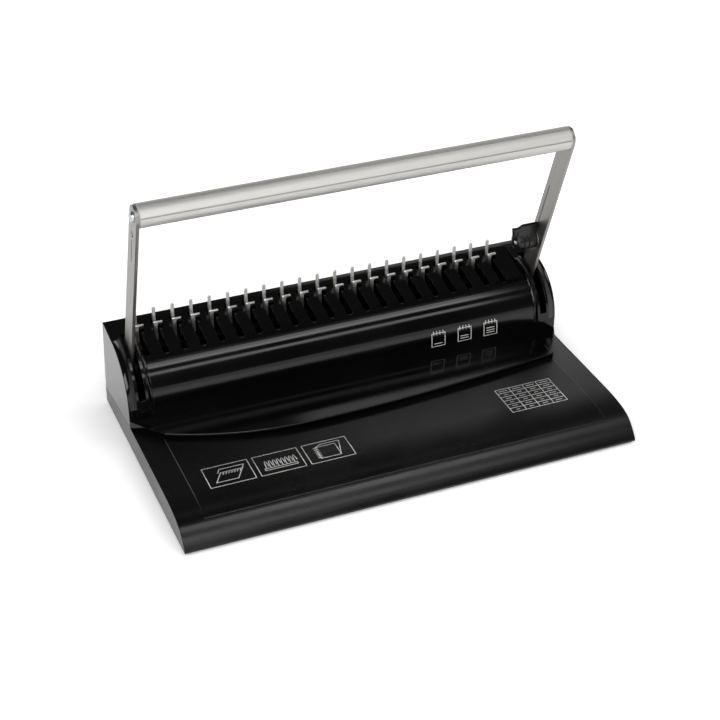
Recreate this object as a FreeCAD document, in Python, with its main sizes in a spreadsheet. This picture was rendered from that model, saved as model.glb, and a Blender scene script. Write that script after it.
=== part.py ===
import FreeCAD, Part
import math
import operator
import os
import types

import Sketcher

# Comb binding machine: a black two-part casing, a steel handle on a cross shaft, 21 punches over a
# die, 21 fixed comb fingers with 21 sliding hooks, and a chip drawer.
# X runs to the right, Y to the back and Z up. The origin is the middle of the footprint on the floor.
# Lengths are in mm and angles in degrees.
SIZES = {
    # casing
    "case_width": 344.0,
    "case_depth": 197.0,
    "wall": 2.5,
    "seam_gap": 0.1,
    "overlap": 1.0,
    "bore_end_gap": 0.5,
    "table_height": 20.5,
    "nose_length": 22.5,
    "nose_foot": 3.5,
    "nose_radius": 40.0,
    "rim_height": 14.0,
    "rim_play": 0.5,
    "floor_plate": 1.6,
    "panel_thickness": 1.0,
    "panel_inset": 13.5,
    # feet and screws under the base
    "foot_height": 2.0,
    "foot_radius": 8.0,
    "foot_inset": 20.0,
    "boss_radius": 4.0,
    "boss_inset": 14.0,
    "boss_front_inset": 36.5,
    "boss_hood_gap": 15.0,
    "boss_back_inset": 8.5,
    "screw_radius": 1.45,
    "screw_play": 0.05,
    "screw_length": 8.0,
    "screw_head_radius": 3.0,
    "screw_head_height": 1.2,
    # hood, measured back from its front face and down from its top
    "cap_width": 18.5,
    "hood_depth": 68.5,
    "hood_radius": 38.0,
    "hood_round_base": 34.5,
    "ledge_rise": 2.5,
    "ledge_width": 5.0,
    "hood_back_slope": 7.5,
    "deck_set_back": 16.5,
    "lip_reach": 47.6,
    "lip_left_reach": 23.1,
    "lip_right_reach": 32.5,
    "lip_crest_shift": 50.0,
    "lip_thickness": 2.0,
    "lip_lift": 0.2,
    "lip_corner_radius": 200.0,
    "slot_rim_height": 1.2,
    "slot_rim_width": 2.0,
    # comb fingers and hooks
    "comb_pitch": 14.2875,
    "comb_margin": 6.9,
    "comb_offset": -6.95,
    "finger_width": 2.4,
    "finger_thickness": 1.5,
    "finger_set_back": 50.6,
    "finger_height": 10.6,
    "finger_bar_depth": 10.0,
    "finger_bar_height": 9.0,
    "deck_slot_width": 5.0,
    "deck_slot_set_back": 17.5,
    "deck_slot_play": 0.8,
    "hook_width": 3.0,
    "hook_shift": -0.8,
    "hook_tab": 3.8,
    "hook_tab_height": 2.0,
    "hook_height": 1.8,
    "hook_set_back": 45.45,
    "hook_plate_depth": 12.45,
    "hook_plate_drop": 14.5,
    "hook_plate_thickness": 1.5,
    "hook_lug_height": 1.8,
    "hook_lug_width": 8.0,
    "hook_window_depth": 6.05,
    "notch_depth": 3.2,
    "rail_width": 17.0,
    "rail_set_back": 16.0,
    "rail_height": 5.0,
    "rail_play": 0.2,
    # handle
    "pivot_set_back": 35.0,
    "pivot_drop": 27.0,
    "arm_lean_angle": 19.3,
    "arm_reach": 160.0,
    "arm_inset": 9.5,
    "arm_thickness": 2.4,
    "arm_half_width": 8.1,
    "arm_slot_play": 1.2,
    "arm_side_play": 1.5,
    "swing_back_angle": 17.0,
    "swing_forward_angle": 66.0,
    "bead_reach": 116.0,
    "bead_length": 22.0,
    "bead_half_width": 0.6,
    "bead_depth": 0.8,
    "dimple_reach": 143.0,
    "dimple_radius": 2.2,
    "groove_reach": 62.0,
    "groove_length": 46.5,
    "groove_set_back": 3.4,
    "groove_half_width": 0.4,
    "tube_radius": 8.5,
    "tube_wall": 1.5,
    "tube_groove_radius": 0.5,
    "tube_groove_angle": 9.0,
    "tube_groove_count": 6,
    "plug_flange": 1.0,
    "plug_length": 13.0,
    "grip_screw_radius": 2.0,
    "grip_screw_length": 12.0,
    "grip_screw_head_radius": 4.0,
    "grip_screw_head_height": 2.2,
    "cross_length": 4.8,
    "cross_width": 1.0,
    "cross_depth": 1.2,
    # drive inside the hood
    "fit_play": 0.05,
    "shaft_radius": 5.0,
    "bolt_radius": 3.0,
    "bolt_length": 14.0,
    "bolt_head_radius": 6.0,
    "bolt_head_height": 3.5,
    "hub_radius": 8.0,
    "bush_wall": 2.0,
    "bush_flange": 1.5,
    "frame_gap": 0.7,
    "frame_thickness": 2.5,
    "frame_back_inset": 6.5,
    "frame_back_slope": 3.0,
    "frame_set_back": 23.0,
    "frame_drop": 9.0,
    "frame_throat_top": 29.0,
    "frame_foot_width": 9.0,
    "frame_foot_length": 18.0,
    "frame_screw_spacing": 10.0,
    "cam_radius": 12.0,
    "cam_throw": 5.57,
    "cam_rest_angle": 24.5,
    "cam_width": 10.0,
    "cam_top_cut": 4.0,
    "lever_reach": 15.5,
    "lever_rest_angle": 33.0,
    "lever_head_radius": 3.0,
    "lever_width": 6.0,
    # punch
    "punch_width": 8.0,
    "punch_thickness": 3.0,
    "punch_play": 0.1,
    "punch_tip_lift": 0.5,
    "die_end_gap": 1.5,
    "die_front_gap": 0.3,
    "die_support_height": 3.0,
    "die_support_width": 6.0,
    "die_support_inset": 2.0,
    "die_thickness": 4.2,
    "die_depth": 44.2,
    "throat_height": 2.6,
    "guide_thickness": 3.6,
    "guide_depth": 21.5,
    "back_stop_reach": 4.0,
    "edge_stop_width": 3.0,
    "edge_stop_length": 20.0,
    "edge_stop_inset": 0.5,
    "ram_gap": 0.35,
    "ram_end_gap": 5.0,
    "ram_depth": 12.0,
    "ram_thickness": 4.0,
    "ear_reach": 7.0,
    "ear_width": 9.0,
    "ear_inset": 1.5,
    "post_radius": 2.0,
    "post_drop": 6.0,
    "spring_radius": 3.0,
    "spring_wire": 0.9,
    "hook_spring_radius": 2.0,
    # stop knob on the right arm
    "knob_reach": 51.2,
    "knob_set_back": 3.0,
    "knob_radius": 9.0,
    "knob_lobe_reach": 10.5,
    "knob_lobe_radius": 7.5,
    "knob_depth": 12.0,
    "knob_play": 0.3,
    "wing_depth": 9.5,
    "wing_root": 1.0,
    "wing_low_reach": 4.5,
    "wing_high_reach": 15.5,
    "wing_half_thickness": 1.5,
    "knob_screw_head_radius": 3.5,
    "knob_screw_head_height": 3.2,
    # chip drawer
    "drawer_end_gap": 3.5,
    "drawer_set_back": 10.0,
    "drawer_depth": 44.0,
    "drawer_wall": 1.6,
    "drawer_play": 0.4,
    "pull_width": 24.0,
    "pull_height": 3.5,
    "pull_depth": 1.5,
    "chip_window_end_gap": 5.5,
    "chip_window_gap": 4.0,
}

doc = FreeCAD.newDocument("comb_binding_machine")
sheet = doc.addObject("Spreadsheet::Sheet", "sizes")
for row, (alias, number) in enumerate(SIZES.items(), start=1):
    sheet.set("A%d" % row, alias)
    sheet.set("B%d" % row, str(number))
    sheet.setAlias("B%d" % row, alias)
doc.recompute()

SIGNS = {"+": operator.add, "-": operator.sub, "*": operator.mul, "/": operator.truediv}


class Size:
    """A size of the machine: its number, and the formula that gives it from the sheet."""

    def __init__(self, number, formula):
        self.number = number
        self.formula = formula

    def __add__(self, other):
        return combine(self, "+", other)

    def __radd__(self, other):
        return combine(other, "+", self)

    def __sub__(self, other):
        return combine(self, "-", other)

    def __rsub__(self, other):
        return combine(other, "-", self)

    def __mul__(self, other):
        return combine(self, "*", other)

    def __rmul__(self, other):
        return combine(other, "*", self)

    def __truediv__(self, other):
        return combine(self, "/", other)

    def __rtruediv__(self, other):
        return combine(other, "/", self)

    def __neg__(self):
        return combine(0.0, "-", self)


def as_size(value):
    """Give a plain number the form of a size."""
    if isinstance(value, Size):
        return value
    return Size(float(value), repr(float(value)))


def combine(left, sign, right):
    """Work out a size from two others."""
    left = as_size(left)
    right = as_size(right)
    number = SIGNS[sign](left.number, right.number)
    return Size(number, "(%s %s %s)" % (left.formula, sign, right.formula))


def root(size):
    """The square root of a size."""
    return Size(math.sqrt(size.number), "sqrt(%s)" % size.formula)


def sine(angle):
    """The sine of an angle in degrees."""
    angle = as_size(angle)
    return Size(math.sin(math.radians(angle.number)), "sin(%s * 1deg)" % angle.formula)


def cosine(angle):
    """The cosine of an angle in degrees."""
    angle = as_size(angle)
    return Size(math.cos(math.radians(angle.number)), "cos(%s * 1deg)" % angle.formula)


s = types.SimpleNamespace(**{alias: Size(number, "sizes." + alias) for alias, number in SIZES.items()})


def bind(thing, prop, size):
    """Tie a property of a document object to a size."""
    thing.setExpression(prop, as_size(size).formula)


TURN_TO_AXIS = {
    "x": FreeCAD.Rotation(FreeCAD.Vector(0, 1, 0), 90),
    "y": FreeCAD.Rotation(FreeCAD.Vector(1, 0, 0), -90),
    "z": FreeCAD.Rotation(),
}


def box(name, x, y, z):
    """Add a block that lies between two limits along each axis."""
    block = doc.addObject("Part::Box", name)
    for axis, prop, limits in zip("xyz", ("Length", "Width", "Height"), (x, y, z)):
        bind(block, "Placement.Base." + axis, limits[0])
        bind(block, prop, as_size(limits[1]) - limits[0])
    return block


def rod(name, axis, limits, centre, radius):
    """Add a round bar along an axis, its centre given by the two other coordinates."""
    bar = doc.addObject("Part::Cylinder", name)
    bar.Placement = FreeCAD.Placement(FreeCAD.Vector(), TURN_TO_AXIS[axis])
    bind(bar, "Radius", radius)
    bind(bar, "Height", as_size(limits[1]) - limits[0])
    bind(bar, "Placement.Base." + axis, limits[0])
    for other, place in zip([letter for letter in "xyz" if letter != axis], centre):
        bind(bar, "Placement.Base." + other, place)
    return bar


def fuse(name, *pieces):
    """Join pieces into one."""
    joined = doc.addObject("Part::MultiFuse", name)
    joined.Shapes = list(pieces)
    return joined


def group(name, *pieces):
    """Keep separate solids together under one name."""
    bundle = doc.addObject("Part::Compound", name)
    bundle.Links = list(pieces)
    return bundle


def cut(name, base, *tools):
    """Take tools away from a piece."""
    result = doc.addObject("Part::Cut", name)
    result.Base = base
    result.Tool = tools[0] if len(tools) == 1 else fuse(name + "_tools", *tools)
    return result


def arc_middle(start, end, radius, side):
    """The middle of the short arc between two points, bulging to the left (1) or right (-1)."""
    chord = end - start
    rise = radius - math.sqrt(radius ** 2 - (chord.Length / 2) ** 2)
    outwards = FreeCAD.Vector(-chord.y, chord.x, 0).normalize()
    return (start + end) / 2 + outwards * (rise * side)


def draw(sketch, corners):
    """Draw a closed outline through corners (u, v), or (u, v, radius, side) where an arc leaves one."""
    points = [FreeCAD.Vector(as_size(c[0]).number, as_size(c[1]).number, 0) for c in corners]
    starts = []
    for index, corner in enumerate(corners):
        here = points[index]
        there = points[(index + 1) % len(points)]
        if len(corner) == 2:
            edge = Part.LineSegment(here, there)
        else:
            edge = Part.Arc(here, arc_middle(here, there, corner[2].number, corner[3]), there)
        sketch.addGeometry(edge, False)
        at_start = sketch.getPoint(index, 1).distanceToPoint(here) < 1e-4
        starts.append(1 if at_start else 2)
    for index, corner in enumerate(corners):
        last = index - 1 if index else len(corners) - 1
        sketch.addConstraint(Sketcher.Constraint("Coincident", last, 3 - starts[last], index, starts[index]))
        for kind, size in zip(("DistanceX", "DistanceY"), corner):
            tie = Sketcher.Constraint(kind, -1, 1, index, starts[index], as_size(size).number)
            bind(sketch, "Constraints[%d]" % sketch.addConstraint(tie), size)
        if len(corner) > 2:
            tie = Sketcher.Constraint("Radius", index, corner[2].number)
            bind(sketch, "Constraints[%d]" % sketch.addConstraint(tie), corner[2])


def pad(name, plane, limits, corners):
    """Add a body whose outline on a plane is carried from one limit to the other."""
    body = doc.addObject("PartDesign::Body", name)
    sketch = body.newObject("Sketcher::SketchObject", name + "_outline")
    origin_plane = [feature for feature in body.Origin.OriginFeatures if feature.Role == plane][0]
    sketch.AttachmentSupport = [(origin_plane, "")]
    sketch.MapMode = "FlatFace"
    bind(sketch, "AttachmentOffset.Base.z", limits[0])
    draw(sketch, corners)
    block = body.newObject("PartDesign::Pad", name + "_pad")
    block.Profile = sketch
    bind(block, "Length", as_size(limits[1]) - limits[0])
    return body


def side_view(name, limits, corners):
    """A pad along X whose corners are (y, z)."""
    return pad(name, "YZ_Plane", limits, corners)


def plan_view(name, limits, corners):
    """A pad along Z whose corners are (x, y)."""
    return pad(name, "XY_Plane", limits, corners)


def on_side(side, near, far):
    """Limits along X, from the near to the far distance, on the right (1) or left (-1) side."""
    return (as_size(near), as_size(far)) if side > 0 else (-as_size(far), -as_size(near))


def past(low, high):
    """Limits that run a little past both faces, for a clean cut."""
    return (low - s.overlap, high + s.overlap)


def across(half):
    """Limits the same distance to both sides of the middle."""
    return (-as_size(half), as_size(half))


SIDES = (("left", -1), ("right", 1))
half_width = s.case_width / 2
front = -s.case_depth / 2
back = s.case_depth / 2
parts = {}


def keep(node, piece):
    """Give a finished sub-part its own name."""
    piece.Label = node
    parts[node] = piece
    return piece


# places along X that several pieces share
seam_x = half_width - s.cap_width
arm_outer = half_width - s.arm_inset
arm_inner = arm_outer - s.arm_thickness
frame_inner = seam_x + s.frame_gap
frame_outer = frame_inner + s.frame_thickness
die_half = seam_x - s.die_end_gap
ram_half = seam_x - s.ram_end_gap

# places along Y
hood_front = back - s.hood_depth
table_back = hood_front + s.wall + s.rim_play
round_y = hood_front + s.hood_radius
hood_back_top = back - s.hood_back_slope
ledge_front = hood_back_top - s.ledge_width
deck_front = hood_front + s.deck_set_back
finger_front = hood_front + s.finger_set_back
hook_back = hood_front + s.hook_set_back
window_front = hook_back - s.hook_window_depth
pivot_y = hood_front + s.pivot_set_back
frame_back = back - s.frame_back_inset
lip_front = hood_front - s.lip_reach
lip_ends = {-1: hood_front - s.lip_left_reach, 1: hood_front - s.lip_right_reach}
die_front = table_back + s.die_front_gap
die_back = die_front + s.die_depth
drawer_front = hood_front + s.drawer_set_back
drawer_back = drawer_front + s.drawer_depth

# heights
floor_top = s.foot_height + s.floor_plate
bay_ceiling = s.rim_height - s.wall
round_z = s.hood_round_base
hood_top = round_z + s.hood_radius + s.ledge_rise
hook_plate_bottom = hood_top - s.hook_plate_drop
hook_plate_top = hook_plate_bottom + s.hook_plate_thickness
pivot_z = hood_top - s.pivot_drop
die_bottom = s.rim_height + s.die_support_height
die_top = die_bottom + s.die_thickness
guide_bottom = die_top + s.throat_height
guide_top = guide_bottom + s.guide_thickness
lip_bottom = guide_bottom + s.lip_lift
lip_top = lip_bottom + s.lip_thickness
rim_slope = (s.table_height - s.rim_height) / (back - table_back)

# the grip's centre line
tube_y = pivot_y - s.arm_reach * sine(s.arm_lean_angle)
tube_z = pivot_z + s.arm_reach * cosine(s.arm_lean_angle)

# As many comb teeth as the hood has room for, and the pieces set out by that pitch
COMB_COUNT = int((2 * seam_x.number - s.comb_margin.number) // s.comb_pitch.number)
PUNCH_XS = [(index - (COMB_COUNT - 1) / 2) * s.comb_pitch for index in range(COMB_COUNT)]
COMB_XS = [x + s.comb_offset for x in PUNCH_XS]
HOOK_XS = [x + s.hook_shift for x in COMB_XS]
BOSS_YS = (front + s.boss_front_inset, hood_front - s.boss_hood_gap, back - s.boss_back_inset)
BOSS_PLACES = [(side * (half_width - s.boss_inset), y) for _, side in SIDES for y in BOSS_YS]
FRAME_SCREW_PLACES = [(side * (frame_outer + s.frame_foot_width / 2),
                       frame_back - s.frame_foot_length / 2 + shift * s.frame_screw_spacing / 2)
                      for _, side in SIDES for shift in (-1, 1)]


def teeth_in(count):
    """Places along X at both ends of the row of teeth, a number of pitches in from the last one."""
    reach = ((COMB_COUNT - 1) / 2 - count) * s.comb_pitch
    return [side * reach for _, side in SIDES]


POST_XS = teeth_in(0.5)
CAM_XS = [teeth_in(4.5)[0], as_size(0.0), teeth_in(4.5)[1]]
LEVER_XS = [x + s.comb_offset for x in teeth_in(2.5)]
HOOK_SPRING_XS = [x + s.comb_offset for x in teeth_in(6.5)]


def along_arm(reach, sideways):
    """A point (y, z) on the arm: a reach from the pivot and a shift to its back edge."""
    y = pivot_y - reach * sine(s.arm_lean_angle) + sideways * cosine(s.arm_lean_angle)
    z = pivot_z + reach * cosine(s.arm_lean_angle) + sideways * sine(s.arm_lean_angle)
    return (y, z)


def arm_strip(name, limits, reaches, edges):
    """A straight strip along the arm, between two reaches from the pivot and two shifts to the back."""
    (start, end), (low, high) = reaches, edges
    corners = [along_arm(start, high), along_arm(start, low), along_arm(end, low), along_arm(end, high)]
    return side_view(name, limits, corners)


def base_housing():
    """The lower casing: a table with a rounded front, a sunk platform for the drive and a drawer bay."""
    nose = (front + s.nose_length, s.table_height)
    outer = side_view("base_outer", across(half_width), [
        (front, s.foot_height), (front, s.nose_foot, s.nose_radius, 1), nose,
        (table_back, s.table_height), (back, s.rim_height), (back, s.foot_height)])
    inside = half_width - s.wall
    cavity = side_view("base_cavity", across(inside), [
        (front + s.wall, s.foot_height - s.overlap), (front + s.wall, s.nose_foot, s.nose_radius - s.wall, 1),
        (nose[0], s.table_height - s.wall), (table_back - s.wall, s.table_height - s.wall),
        (table_back - s.wall, bay_ceiling), (back - s.wall, bay_ceiling),
        (back - s.wall, s.foot_height - s.overlap)])
    sunk = box("base_sunk", across(inside - 2 * s.seam_gap), (table_back, back - s.wall - s.rim_play),
               (s.rim_height, hood_top))
    window = box("base_chip_window", across(seam_x - s.chip_window_end_gap),
                 (table_back + s.die_support_width + s.chip_window_gap,
                  die_back - s.die_support_width - s.rim_play),
                 past(bay_ceiling, s.rim_height))
    mouth = box("base_drawer_mouth", past(inside, half_width),
                (drawer_front - s.drawer_play, drawer_back + s.drawer_play), (floor_top, bay_ceiling))
    shell = cut("base_shell", outer, cavity, sunk, window, mouth)
    bosses = []
    bores = []
    for index, (x, y) in enumerate(BOSS_PLACES):
        roof = bay_ceiling if index % 3 == 2 else s.table_height - s.wall
        bosses.append(rod("base_boss", "z", (floor_top, roof + s.overlap), (x, y), s.boss_radius))
        bore_top = s.foot_height + s.screw_length + s.bore_end_gap
        bores.append(rod("base_bore", "z", (s.foot_height, bore_top), (x, y), s.screw_radius + s.screw_play))
    for x, y in FRAME_SCREW_PLACES:
        bores.append(rod("base_frame_bore", "z", past(bay_ceiling, s.rim_height), (x, y),
                         s.screw_radius + s.screw_play))
    keep("base_housing", cut("base_drilled", fuse("base_with_bosses", shell, *bosses), *bores))


def bottom_plate():
    """The sheet that closes the base from below, with its feet and screws."""
    gap = s.wall + 3 * s.seam_gap
    plate = box("bottom_sheet", across(half_width - gap), (front + gap, back - gap),
                (s.foot_height, floor_top))
    holes = [rod("bottom_hole", "z", past(s.foot_height, floor_top), place, s.screw_radius + 5 * s.screw_play)
             for place in BOSS_PLACES]
    keep("bottom_plate", cut("bottom_drilled", plate, *holes))
    foot_x = half_width - s.foot_inset
    foot_y = back - s.foot_inset
    feet = [rod("foot", "z", (0.0, s.foot_height), (x * foot_x, y * foot_y), s.foot_radius)
            for x in (-1, 1) for y in (-1, 1)]
    keep("rubber_feet", group("feet", *feet))
    screws = []
    for place in BOSS_PLACES:
        head = rod("base_screw_head", "z", (s.foot_height - s.screw_head_height, s.foot_height), place,
                   s.screw_head_radius)
        shank = rod("base_screw_shank", "z", (s.foot_height, s.foot_height + s.screw_length), place,
                    s.screw_radius)
        screws.append(fuse("base_screw", head, shank))
    keep("base_screws", group("base_screw_set", *screws))


def table_panel():
    """The raised panel on the table, which follows the rounded front edge a little way down."""
    rise = s.table_height - s.nose_foot
    chord = root(s.nose_length * s.nose_length + rise * rise)
    depth = root(s.nose_radius * s.nose_radius - chord * chord / 4)
    centre_y = front + s.nose_length / 2 + depth * rise / chord
    centre_z = s.table_height - rise / 2 - depth * s.nose_length / chord
    panel_front = front + s.panel_inset
    run = panel_front - centre_y
    drop = root(s.nose_radius * s.nose_radius - run * run)
    grow = s.panel_thickness / s.nose_radius
    nose_y = front + s.nose_length
    top = s.nose_radius + s.panel_thickness
    keep("table_panel", side_view("panel", across(seam_x), [
        (table_back, s.table_height), (nose_y, s.table_height, s.nose_radius, -1),
        (panel_front, centre_z + drop),
        (panel_front + run * grow, centre_z + drop + drop * grow, top, 1),
        (nose_y + (nose_y - centre_y) * grow, s.table_height + (s.table_height - centre_z) * grow),
        (table_back, s.table_height + s.panel_thickness)]))


def level_arc_radius(run, rise):
    """The radius of an arc that starts level and climbs by the rise over the run."""
    return (run * run + rise * rise) / (2 * rise)


def hood_cover():
    """The middle of the hood: a shell with the slotted comb deck and the lip over the paper throat."""
    reach = round_y - deck_front
    deck_z = round_z + root(s.hood_radius * s.hood_radius - reach * reach)
    inner_radius = s.hood_radius - s.wall
    shrink = inner_radius / s.hood_radius
    foot = s.rim_height + s.seam_gap
    length = across(seam_x - s.seam_gap)
    shell = side_view("hood_shell", length, [
        (back, foot), (hood_back_top, hood_top), (ledge_front, hood_top),
        (deck_front, deck_z, s.hood_radius, -1), (hood_front, round_z), (hood_front, lip_bottom),
        (hood_front + s.wall, lip_bottom), (hood_front + s.wall, round_z, inner_radius, 1),
        (round_y - reach * shrink, round_z + (deck_z - round_z) * shrink),
        (ledge_front, hood_top - s.wall), (hood_back_top - s.wall, hood_top - s.wall),
        (back - s.wall, foot + s.wall * rim_slope)])
    half = seam_x - s.seam_gap
    left_sweep = level_arc_radius(half - s.lip_crest_shift, lip_ends[-1] - lip_front)
    right_sweep = level_arc_radius(half + s.lip_crest_shift, lip_ends[1] - lip_front)
    lip = plan_view("hood_lip", (lip_bottom, lip_top), [
        (-half, lip_ends[-1], left_sweep, -1), (-s.lip_crest_shift, lip_front, right_sweep, -1),
        (half, lip_ends[1]), (half, hood_front + s.wall), (-half, hood_front + s.wall)])
    slots = []
    finger_back = finger_front + s.finger_thickness
    through = past(hook_plate_bottom, hood_top)
    for x in HOOK_XS:
        edge = s.deck_slot_width / 2
        slots.append(box("deck_slot", (x - edge, x + edge),
                         (hood_front + s.deck_slot_set_back, finger_back + s.deck_slot_play), through))
        notch_back = hook_back + s.deck_slot_play
        slots.append(box("deck_notch", (x, x + s.hook_width / 2 + s.hook_tab + s.deck_slot_play),
                         (notch_back - s.notch_depth, notch_back), through))
    keep("hood_cover", cut("hood_slotted", fuse("hood_body", shell, lip), *slots))


def arm_slot(name, limits):
    """The fan that an arm sweeps between the ends of its swing, with room around it."""
    half = s.arm_half_width + s.arm_slot_play
    far = s.arm_reach / 2
    first = s.arm_lean_angle - s.swing_back_angle
    last = s.arm_lean_angle + s.swing_forward_angle
    middle = (first + last) / 2

    def at(angle, reach, sideways):
        return (pivot_y - reach * sine(angle) + sideways * cosine(angle),
                pivot_z + reach * cosine(angle) + sideways * sine(angle))

    return side_view(name, limits, [at(first, 0.0, half), at(first, far, half), at(middle, 2 * far, 0.0),
                                    at(last, far, -half), at(last, 0.0, -half)])


def end_cap(word, side):
    """The end of the hood on one side, with the curved slot that its arm swings in."""
    name = word + "_cap"
    foot = s.rim_height + s.seam_gap
    step = s.table_height + s.seam_gap
    near = seam_x + s.seam_gap
    outer = side_view(name + "_outer", on_side(side, near, half_width), [
        (back, foot), (hood_back_top, hood_top), (ledge_front, hood_top),
        (round_y, round_z + s.hood_radius, s.hood_radius, -1), (hood_front, round_z),
        (hood_front, step), (table_back, step)])
    inner_radius = s.hood_radius - s.wall
    cavity = side_view(name + "_cavity", on_side(side, near - s.overlap, half_width - s.wall), [
        (back - s.wall, foot - s.overlap), (hood_back_top - s.wall, hood_top - s.wall),
        (ledge_front, hood_top - s.wall), (round_y, round_z + inner_radius, inner_radius, -1),
        (hood_front + s.wall, round_z), (hood_front + s.wall, foot - s.overlap)])
    slot_near = arm_inner - s.arm_side_play
    slot_far = arm_outer + s.arm_side_play
    rim_radius = s.hood_radius + s.slot_rim_height
    root_radius = s.hood_radius - s.overlap
    rim = side_view(name + "_rim", on_side(side, slot_near - s.slot_rim_width, slot_far + s.slot_rim_width), [
        (round_y, round_z + rim_radius, rim_radius, -1), (hood_front - s.slot_rim_height, round_z),
        (hood_front + s.overlap, round_z, root_radius, 1), (round_y, round_z + root_radius)])
    corner = plan_view(name + "_corner", (step, lip_top), [
        (side * near, lip_ends[side], s.lip_corner_radius, -side), (side * half_width, hood_front),
        (side * half_width, hood_front + s.overlap), (side * near, hood_front + s.overlap)])
    shell = cut(name + "_shell", outer, cavity)
    whole = fuse(name + "_body", shell, rim, corner)
    sweep = arm_slot(name + "_slot", on_side(side, slot_near, slot_far))
    keep(word + "_end_cap", cut(name + "_slotted", whole, sweep))


def side_frame(word, side):
    """A steel plate with a throat that carries the shaft, with a foot flange screwed to the base."""
    name = word + "_frame"
    throat_back = pivot_y + s.shaft_radius
    slope = s.hub_radius
    frame_front = hood_front + s.frame_set_back
    frame_top = hood_top - s.frame_drop
    plate = side_view(name + "_plate", on_side(side, frame_inner, frame_outer), [
        (throat_back, s.rim_height), (frame_back, s.rim_height), (frame_back - s.frame_back_slope, frame_top),
        (frame_front + slope, frame_top), (frame_front, frame_top - slope),
        (frame_front, s.frame_throat_top), (throat_back, s.frame_throat_top)])
    foot_top = s.rim_height + s.frame_thickness
    foot = box(name + "_foot", on_side(side, frame_outer, frame_outer + s.frame_foot_width),
               (frame_back - s.frame_foot_length, frame_back), (s.rim_height, foot_top))
    holes = [rod(name + "_bush_hole", "x", on_side(side, *past(frame_inner, frame_outer)),
                 (pivot_y, pivot_z), s.shaft_radius + s.bush_wall + s.fit_play)]
    for x, y in FRAME_SCREW_PLACES:
        if x.number * side > 0:
            holes.append(rod(name + "_screw_hole", "z", past(s.rim_height, foot_top), (x, y),
                             s.screw_radius + s.screw_play))
    keep(word + "_side_frame", cut(name + "_drilled", fuse(name + "_blank", plate, foot), *holes))


def frame_fittings():
    """The flanged shaft bushes and the screws of the side frames."""
    centre = (pivot_y, pivot_z)
    bushes = []
    for _, side in SIDES:
        sleeve = rod("bush_sleeve", "x", on_side(side, frame_inner, frame_outer), centre,
                     s.shaft_radius + s.bush_wall)
        flange = rod("bush_flange", "x", on_side(side, frame_outer, frame_outer + s.bush_flange), centre,
                     s.shaft_radius + 2 * s.bush_wall)
        bore = rod("bush_bore", "x", on_side(side, *past(frame_inner, frame_outer + s.bush_flange)), centre,
                   s.shaft_radius + s.fit_play)
        bushes.append(cut("bush", fuse("bush_blank", sleeve, flange), bore))
    keep("shaft_bushes", group("bush_pair", *bushes))
    screws = []
    foot_top = s.rim_height + s.frame_thickness
    for place in FRAME_SCREW_PLACES:
        head = rod("frame_screw_head", "z", (foot_top, foot_top + s.screw_head_height), place,
                   s.screw_head_radius)
        shank = rod("frame_screw_shank", "z", (bay_ceiling, foot_top), place, s.screw_radius)
        screws.append(fuse("frame_screw", head, shank))
    keep("frame_screws", group("frame_screw_set", *screws))


def punch_openings(name, limits):
    """The row of 21 rectangular punch holes, as tools through a plate."""
    width = s.punch_width / 2 + s.punch_play
    depth = s.punch_thickness / 2 + s.punch_play
    return [box(name, (x - width, x + width), (pivot_y - depth, pivot_y + depth), limits) for x in PUNCH_XS]


def die_set():
    """Die plate on its two supports, the stops for the paper and the punch guide plate with its posts."""
    length = across(die_half)
    rests = [box("die_rest", length, (y, y + s.die_support_width), (s.rim_height, die_bottom))
             for y in (die_front + s.die_support_inset, die_back - s.die_support_width)]
    keep("die_supports", group("die_rests", *rests))
    plate = box("die_blank", length, (die_front, die_back), (die_bottom, die_top))
    die_holes = punch_openings("die_hole", past(die_bottom, die_top))
    keep("die_plate", cut("die_pierced", plate, *die_holes))
    stop_front = pivot_y + s.back_stop_reach
    keep("paper_back_stop", box("back_stop", length, (stop_front, die_back), (die_top, guide_bottom)))
    edge = s.edge_stop_inset + s.edge_stop_width - die_half
    keep("paper_edge_stop", box("edge_stop", (edge - s.edge_stop_width, edge),
                                (die_front, die_front + s.edge_stop_length),
                                (die_top, guide_bottom - s.seam_gap)))
    guide = box("guide_blank", length, (die_back - s.guide_depth, die_back), (guide_bottom, guide_top))
    holes = punch_openings("guide_hole", past(guide_bottom, guide_top))
    posts = []
    for x in POST_XS:
        place = (x, pivot_y)
        holes.append(rod("guide_post_hole", "z", past(guide_bottom, guide_top), place,
                         s.post_radius + s.fit_play))
        posts.append(rod("guide_post", "z", (guide_bottom, pivot_z - s.post_drop), place, s.post_radius))
    keep("punch_guide_plate", cut("guide_pierced", guide, *holes))
    keep("guide_posts", group("guide_post_pair", *posts))


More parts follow.
